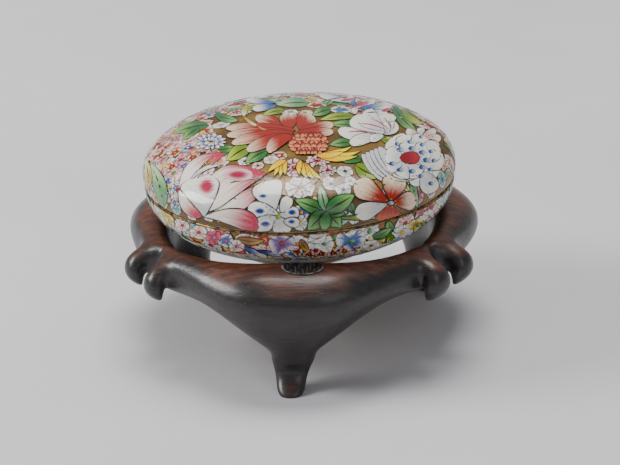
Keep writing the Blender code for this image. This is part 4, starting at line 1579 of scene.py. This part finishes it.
def paint_back_flower(painter, lay, kind, size):
    """One large generic flower: a peony, an open mallow, a daisy or a many-ringed camellia."""
    centre, radii = (0.0, 0.0), (size, size)
    if kind == 0:
        paint_peony(painter, lay, centre, radii, "coral", 0.0, 2.6)
    elif kind == 1:
        paint_ring(painter, lay, centre, radii, 5, "pink", 3.0, 90.0, 1.25, shape="fan", scallops=2,
                   size=9)
        paint_heart(painter, lay, centre, (size * MALLOW_HEART, size * MALLOW_HEART), "straw", 6)
    elif kind == 2:
        paint_ring(painter, lay, centre, radii, 16, "white_blue", 3.0, 0.0, 1.0, shape="oval")
        heart = (size * DAISY_HEART, size * DAISY_HEART)
        paint_heart(painter, lay, centre, heart, "yellow")
    else:
        for share, count in BACK_RINGS:
            paint_ring(painter, lay, centre, (size * share, size * share), count, "white",
                       3.5 - share, BACK_RING_TURN * share, 1.3)
            for i in range(count):
                at = scaled(centre, radii, share * BACK_SPOT_SHARE,
                            BACK_RING_TURN * share + 360.0 * i / count)
                paint_dot(painter, lay, at, BACK_SPOT, "blue", 4.2, 0.02)
        heart = (size * BACK_CAMELLIA_HEART, size * BACK_CAMELLIA_HEART)
        paint_dot(painter, lay, centre, heart, "crimson", 4.5)


def paint_back(painter, by_azimuth, length, size):
    """Large flowers with leaves between, round the side that the photograph doesn't show."""
    azimuth, index = BACK_FIRST, 0
    while azimuth <= BACK_LAST:
        paint_back_flower(painter, by_azimuth(azimuth, length), index % 4, size)
        leaves = by_azimuth(azimuth + 0.5 * BACK_SPACING, length)
        for turn, enamel in BACK_LEAVES:
            tip = scaled((0.0, 0.0), (size, size), BACK_LEAF_REACH, turn)
            paint_leaf(painter, leaves, (0.0, 0.0), tip, size * BACK_LEAF_WIDTH, enamel, 0.1)
        azimuth += BACK_SPACING
        index += 1


# Inscription of strokes on the stand

SEAL_CENTRE = (302.5, 267.5)
SEAL_RADII = (21.5, 7.8)
SEAL_PLANE_Z = 31.0 * MM
SEAL_REACH = 6.0 * MM
SEAL_ROWS = 61
SEAL_COLUMNS = 141
SEAL_COLUMN_COUNT = 11.0
SEAL_STROKE_DEPTH = 0.16 * MM
SEAL_RIM_HEIGHT = 0.12 * MM
SEAL_LIFT = 0.04 * MM
# Shares of the oval's reach: where its rim stands, and where its field of strokes ends
SEAL_RIM_PLACE = 0.93
SEAL_RIM_WIDTH = 0.05
SEAL_FIELD_END = 0.82
SEAL_FIELD_FALL = 60.0
# Shares of a column: how far a stroke sways, and how wide it is
SEAL_SWAY = 0.12
SEAL_STROKE_WIDTH = 0.16
SEAL_GATE = 0.35
SEAL_GATE_FALL = 14.0


def seal_relief(u, v):
    """Height over an oval: a raised round rim, and inside it columns of short sunk strokes. A
    stroke is a narrow smooth valley across its column, cut off by slow waves along it."""
    out = np.hypot(u, v)
    rim = np.exp(-((out - SEAL_RIM_PLACE) / SEAL_RIM_WIDTH) ** 2)
    column = (u * 0.5 + 0.5) * SEAL_COLUMN_COUNT
    lane = np.floor(column)
    middle = 0.5 + SEAL_SWAY * np.sin(lane * 2.3 + v * 2.0)
    narrow = np.exp(-((column - lane - middle) / SEAL_STROKE_WIDTH) ** 2)
    wave = np.sin(v * (5.0 + 1.5 * np.sin(lane * 1.7)) + lane * 2.1)
    gate = 1.0 / (1.0 + np.exp(-SEAL_GATE_FALL * (wave + SEAL_GATE)))
    inside = 1.0 / (1.0 + np.exp(SEAL_FIELD_FALL * (out - SEAL_FIELD_END)))
    strokes = narrow * gate * inside
    return SEAL_RIM_HEIGHT * rim - SEAL_STROKE_DEPTH * strokes, rim, strokes


def seal_patch(stand):
    """An oval patch laid on the stand: a grid of squares mapped to a disc and cast onto the wood
    along the sight lines, with a level plane where the wood is missed, then given its relief."""
    a = np.linspace(-1.0, 1.0, SEAL_COLUMNS)[None, :]
    b = np.linspace(-1.0, 1.0, SEAL_ROWS)[:, None]
    u = a * np.sqrt(1.0 - b * b / 2.0)
    v = b * np.sqrt(1.0 - a * a / 2.0)
    pixels = np.stack([SEAL_CENTRE[0] + SEAL_RADII[0] * u, SEAL_CENTRE[1] + SEAL_RADII[1] * v], -1)
    eye, rays = photo_rays(pixels)
    rays = rays.reshape(-1, 3)
    points = eye + rays * ((SEAL_PLANE_Z - eye[2]) / rays[:, 2:3])
    bpy.context.view_layer.update()
    for i, ray in enumerate(rays):
        hit, place, _, _ = stand.ray_cast(eye.tolist(), ray.tolist())
        if hit and np.linalg.norm(np.array(place) - points[i]) < SEAL_REACH:
            points[i] = place
    faces = grid_faces(SEAL_ROWS, SEAL_COLUMNS)[:, [0, 3, 2, 1]]
    patch = new_piece("inscribed_oval", points, faces, [])
    wrap = patch.modifiers.new("Press on wood", "SHRINKWRAP")
    wrap.target = stand
    wrap.wrap_method = "NEAREST_SURFACEPOINT"
    wrap.wrap_mode = "ABOVE_SURFACE"
    wrap.offset = SEAL_LIFT
    ready = patch.evaluated_get(bpy.context.evaluated_depsgraph_get())
    pressed = bpy.data.meshes.new_from_object(ready)
    patch.modifiers.clear()
    patch.data = pressed
    normals = np.empty(len(pressed.vertices) * 3)
    pressed.vertices.foreach_get("normal", normals)
    normals = normals.reshape(-1, 3)
    normals *= np.where(normals[:, 2:3] < 0.0, -1.0, 1.0)
    height, rim, strokes = seal_relief(u, v)
    places = mesh_points(pressed) + normals * (SEAL_STROKE_DEPTH + height.reshape(-1, 1))
    pressed.vertices.foreach_set("co", places.ravel())
    layer = pressed.attributes.new("seal_marks", "FLOAT_VECTOR", "POINT")
    marks = np.stack([rim, strokes, np.zeros_like(rim)], -1).astype(np.float32)
    layer.data.foreach_set("vector", marks.ravel())
    pressed.update()
    return patch


# Stage

FLOOR_HALF = 2.5
FLOOR_CELLS = 8
LIGHT_TARGET = (0.0, 0.0, 0.03)
CLIP_NEAR = 0.01
CLIP_FAR = 20.0
SURROUND_COLOUR = srgb(236, 238, 242)
# Each lamp's place and size in metres
KEY_LAMP = ((-0.82, -0.1, 0.52), (0.4, 0.34))
FILL_LAMP = ((0.5, -0.7, 0.5), (0.5, 0.5))
TOP_LAMP = ((0.02, 0.2, 1.0), (0.55, 0.5))


def make_camera():
    """The photograph's camera, as a perspective lens with the photo's focal length in pixels."""
    eye, forward, right, up = camera_axes()
    lens = bpy.data.cameras.new("photo_camera")
    lens.sensor_fit = "HORIZONTAL"
    lens.sensor_width = SENSOR_WIDTH_MM
    lens.lens = VIEW_FOCAL_PX / PHOTO_WIDTH * SENSOR_WIDTH_MM
    lens.clip_start = CLIP_NEAR
    lens.clip_end = CLIP_FAR
    camera = bpy.data.objects.new("photo_camera", lens)
    turn = Matrix((right.tolist(), up.tolist(), (-forward).tolist())).transposed()
    camera.matrix_world = Matrix.Translation(eye.tolist()) @ turn.to_4x4()
    bpy.context.scene.collection.objects.link(camera)
    bpy.context.scene.camera = camera


def make_light(name, place, size, power):
    """A soft rectangular lamp at a place, facing the object."""
    lamp = bpy.data.lights.new(name, "AREA")
    lamp.shape = "RECTANGLE"
    lamp.size, lamp.size_y = size
    lamp.energy = power
    light = bpy.data.objects.new(name, lamp)
    aim = np.array(LIGHT_TARGET) - np.array(place)
    back = -aim / np.linalg.norm(aim)
    side = np.cross([0.0, 0.0, 1.0], back)
    side /= np.linalg.norm(side)
    top = np.cross(back, side)
    turn = Matrix((side.tolist(), top.tolist(), back.tolist())).transposed()
    light.matrix_world = Matrix.Translation(place) @ turn.to_4x4()
    bpy.context.scene.collection.objects.link(light)


def make_floor(material):
    """A wide level floor."""
    even = np.linspace(-FLOOR_HALF, FLOOR_HALF, FLOOR_CELLS + 1)
    x, y = np.meshgrid(even, even)
    points = np.stack([x, y, np.zeros_like(x)], -1).reshape(-1, 3)
    faces = grid_faces(FLOOR_CELLS + 1, FLOOR_CELLS + 1)
    floor = new_piece("studio_floor", points, faces, [material], False)


def make_surround(strength):
    """An even pale surround."""
    surround = bpy.data.worlds.new("studio_surround")
    surround.use_nodes = True
    background = surround.node_tree.nodes["Background"]
    background.inputs["Color"].default_value = SURROUND_COLOUR
    background.inputs["Strength"].default_value = strength
    bpy.context.scene.world = surround


# Sizes and colours that a user may change

class SealBoxPaint(bpy.types.PropertyGroup):
    """The box's glaze and flowers."""

    ground_light: bpy.props.FloatVectorProperty(
        name="Light ground", description="Colour of the gold ground where it is whole",
        size=4, subtype="COLOR", min=0.0, max=1.0, default=srgb(156, 118, 46))
    ground_dark: bpy.props.FloatVectorProperty(
        name="Dark ground", description="Colour of the gold ground where it is thick",
        size=4, subtype="COLOR", min=0.0, max=1.0, default=srgb(96, 68, 20))
    blossom_spacing: bpy.props.FloatProperty(
        name="Blossom spacing", description="Distance between the small blossoms of a row",
        default=4.6 * MM, min=2.0 * MM, max=12.0 * MM, unit="LENGTH")
    seed: bpy.props.IntProperty(
        name="Blossom seed", description="Which scatter of small blossoms is drawn", default=7, min=0)


class SealBoxStand(bpy.types.PropertyGroup):
    """The carved stand."""

    smooth_levels: bpy.props.IntProperty(
        name="Smoothness", description="Subdivision levels of the carving", default=4, min=1, max=4)
    side_colour: bpy.props.FloatVectorProperty(
        name="Side colour", description="Colour of the wood's dark sides", size=4, subtype="COLOR",
        min=0.0, max=1.0, default=srgb(40, 35, 32))
    # The top colour is painted top light, laid on the wood where it faces up.
    top_colour: bpy.props.FloatVectorProperty(
        name="Top colour", description="Colour of the wood where it is rubbed", size=4,
        subtype="COLOR", min=0.0, max=1.0, default=srgb(122, 66, 42))


class SealBoxStage(bpy.types.PropertyGroup):
    """The floor and lights."""

    key_power: bpy.props.FloatProperty(
        name="Key light", description="Power of the large lamp at the left", default=8.0,
        min=0.0, unit="POWER")
    fill_power: bpy.props.FloatProperty(
        name="Fill light", description="Power of the lamp at the front right", default=1.0, min=0.0,
        unit="POWER")
    top_power: bpy.props.FloatProperty(
        name="Top light", description="Power of the overhead lamp", default=9.0, min=0.0,
        unit="POWER")
    surround: bpy.props.FloatProperty(
        name="Surround", description="Strength of the even light all round", default=0.36, min=0.0,
        subtype="FACTOR")


def on_frame(piece, slot, *nodes):
    """Put a finished piece on the root body and hide the nodes that it replaces. The slot is not used."""
    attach(piece, "root")
    if nodes:
        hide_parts(*nodes)


class SEALBOX_OT_lid(bpy.types.Operator):
    """Make the lid's porcelain shell"""
    bl_idname = "sealbox.lid"
    bl_label = "Lid"

    def execute(self, context):
        finish = finish_materials(context.scene)
        piece = shell_piece("lid_shell", lid_shell_profile(), [
            finish["brown_gold_ground"], finish["worn_gilt_rim"], finish["white_inner_glaze"]],
            lid_finish_of_face)
        on_frame(piece, "painted_glaze", "lid")
        return {"FINISHED"}


class SEALBOX_OT_base(bpy.types.Operator):
    """Make the base's porcelain shell"""
    bl_idname = "sealbox.base"
    bl_label = "Base"

    def execute(self, context):
        finish = finish_materials(context.scene)
        piece = shell_piece("base_shell", base_shell_profile(), [
            finish["brown_gold_ground"], finish["worn_gilt_rim"], finish["white_inner_glaze"],
            finish["bare_foot_clay"]], base_finish_of_face)
        on_frame(piece, "painted_glaze", "base")
        return {"FINISHED"}


class SEALBOX_OT_lid_flowers(bpy.types.Operator):
    """Paint the lid's flowers"""
    bl_idname = "sealbox.lid_flowers"
    bl_label = "Lid flowers"

    def execute(self, context):
        finish = finish_materials(context.scene)
        paint = context.scene.seal_box_paint
        painter = Painter()
        spacing = paint.blossom_spacing / MM
        paint_scatter(painter, lid_by_azimuth, BACK_SPAN, BACK_ROWS, spacing, paint.seed,
                      BACK_BLOSSOM)
        paint_scatter(painter, lid_by_azimuth, LEFT_CLUSTER_SPAN, LEFT_CLUSTER_ROWS,
                      CLUSTER_SPACING, paint.seed + 2, CLUSTER_SIZE, CLUSTER_ENAMELS,
                      CLUSTER_LEAF_SHARE)
        paint_scatter(painter, lid_by_azimuth, FRONT_RIM_SPAN, FRONT_RIM_ROWS, spacing,
                      paint.seed + 3, FRONT_RIM_SIZE)
        paint_scatter(painter, lid_by_azimuth, FAR_TOP_SPAN, FAR_TOP_ROWS, FAR_TOP_SPACING,
                      paint.seed + 4, FAR_TOP_SIZE)
        paint_back(painter, lid_by_azimuth, BACK_LID_LENGTH, BACK_LID_FLOWER)
        paint_lid_front(painter, lid_in_view)
        on_frame(painter.finish("lid_flowers", finish["painted_enamel"]), "painted_glaze")
        return {"FINISHED"}


class SEALBOX_OT_base_flowers(bpy.types.Operator):
    """Paint the base's flowers"""
    bl_idname = "sealbox.base_flowers"
    bl_label = "Base flowers"

    def execute(self, context):
        finish = finish_materials(context.scene)
        paint = context.scene.seal_box_paint
        painter = Painter()
        paint_scatter(painter, base_by_azimuth, BASE_SPAN, BASE_ROWS, paint.blossom_spacing / MM,
                      paint.seed + 1, BASE_BLOSSOM)
        paint_back(painter, base_by_azimuth, BACK_BASE_DEPTH, BACK_BASE_FLOWER)
        paint_base_front(painter, base_in_view)
        on_frame(painter.finish("base_flowers", finish["painted_enamel"]), "painted_glaze")
        return {"FINISHED"}


class SEALBOX_OT_stand(bpy.types.Operator):
    """Carve the wooden stand and its inscribed oval"""
    bl_idname = "sealbox.stand"
    bl_label = "Stand"

    def execute(self, context):
        finish = finish_materials(context.scene)
        mesh = carve_stand(context.scene.seal_box_stand.smooth_levels)
        mesh.materials.append(finish["dark_carved_wood"])
        mesh.shade_smooth()
        piece = bpy.data.objects.new("carved_stand", mesh)
        context.scene.collection.objects.link(piece)
        on_frame(piece, "dark_wood", "stand")
        patch = seal_patch(piece)
        patch.data.materials.append(finish["blackened_inscription"])
        patch.data.shade_smooth()
        on_frame(patch, "dark_wood")
        return {"FINISHED"}


class SEALBOX_OT_stage(bpy.types.Operator):
    """Make the floor, the lights and the camera"""
    bl_idname = "sealbox.stage"
    bl_label = "Stage"

    def execute(self, context):
        finish = finish_materials(context.scene)
        stage = context.scene.seal_box_stage
        make_floor(finish["pale_grey_paper"])
        make_light("key_lamp", *KEY_LAMP, stage.key_power)
        make_light("fill_lamp", *FILL_LAMP, stage.fill_power)
        make_light("top_lamp", *TOP_LAMP, stage.top_power)
        make_surround(stage.surround)
        make_camera()
        return {"FINISHED"}


class SEALBOX_PT_panel(bpy.types.Panel):
    """Lists the pieces of the seal box"""
    bl_idname = "SEALBOX_PT_panel"
    bl_label = "Seal box"
    bl_space_type = "VIEW_3D"
    bl_region_type = "UI"
    bl_category = "Seal box"

    def draw(self, context):
        for group in (context.scene.seal_box_paint, context.scene.seal_box_stand,
                      context.scene.seal_box_stage):
            column = self.layout.column()
            for label in group.__annotations__:
                column.prop(group, label)
        for operator in PIECE_OPERATORS:
            self.layout.operator(operator.bl_idname)


PROPERTY_GROUPS = {"seal_box_paint": SealBoxPaint, "seal_box_stand": SealBoxStand,
                   "seal_box_stage": SealBoxStage}
PIECE_OPERATORS = (SEALBOX_OT_lid, SEALBOX_OT_base, SEALBOX_OT_lid_flowers,
                   SEALBOX_OT_base_flowers, SEALBOX_OT_stand, SEALBOX_OT_stage)


def register():
    for label, group in PROPERTY_GROUPS.items():
        bpy.utils.register_class(group)
        setattr(bpy.types.Scene, label, bpy.props.PointerProperty(type=group))
    for each in PIECE_OPERATORS + (SEALBOX_PT_panel,):
        bpy.utils.register_class(each)


def unregister():
    for each in reversed(PIECE_OPERATORS + (SEALBOX_PT_panel,)):
        bpy.utils.unregister_class(each)
    for label, group in PROPERTY_GROUPS.items():
        delattr(bpy.types.Scene, label)
        bpy.utils.unregister_class(group)


def main():
    """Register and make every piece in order."""
    register()
    bpy.ops.sealbox.lid()
    bpy.ops.sealbox.base()
    bpy.ops.sealbox.lid_flowers()
    bpy.ops.sealbox.base_flowers()
    bpy.ops.sealbox.stand()
    bpy.ops.sealbox.stage()


if __name__ == "__main__":
    main()
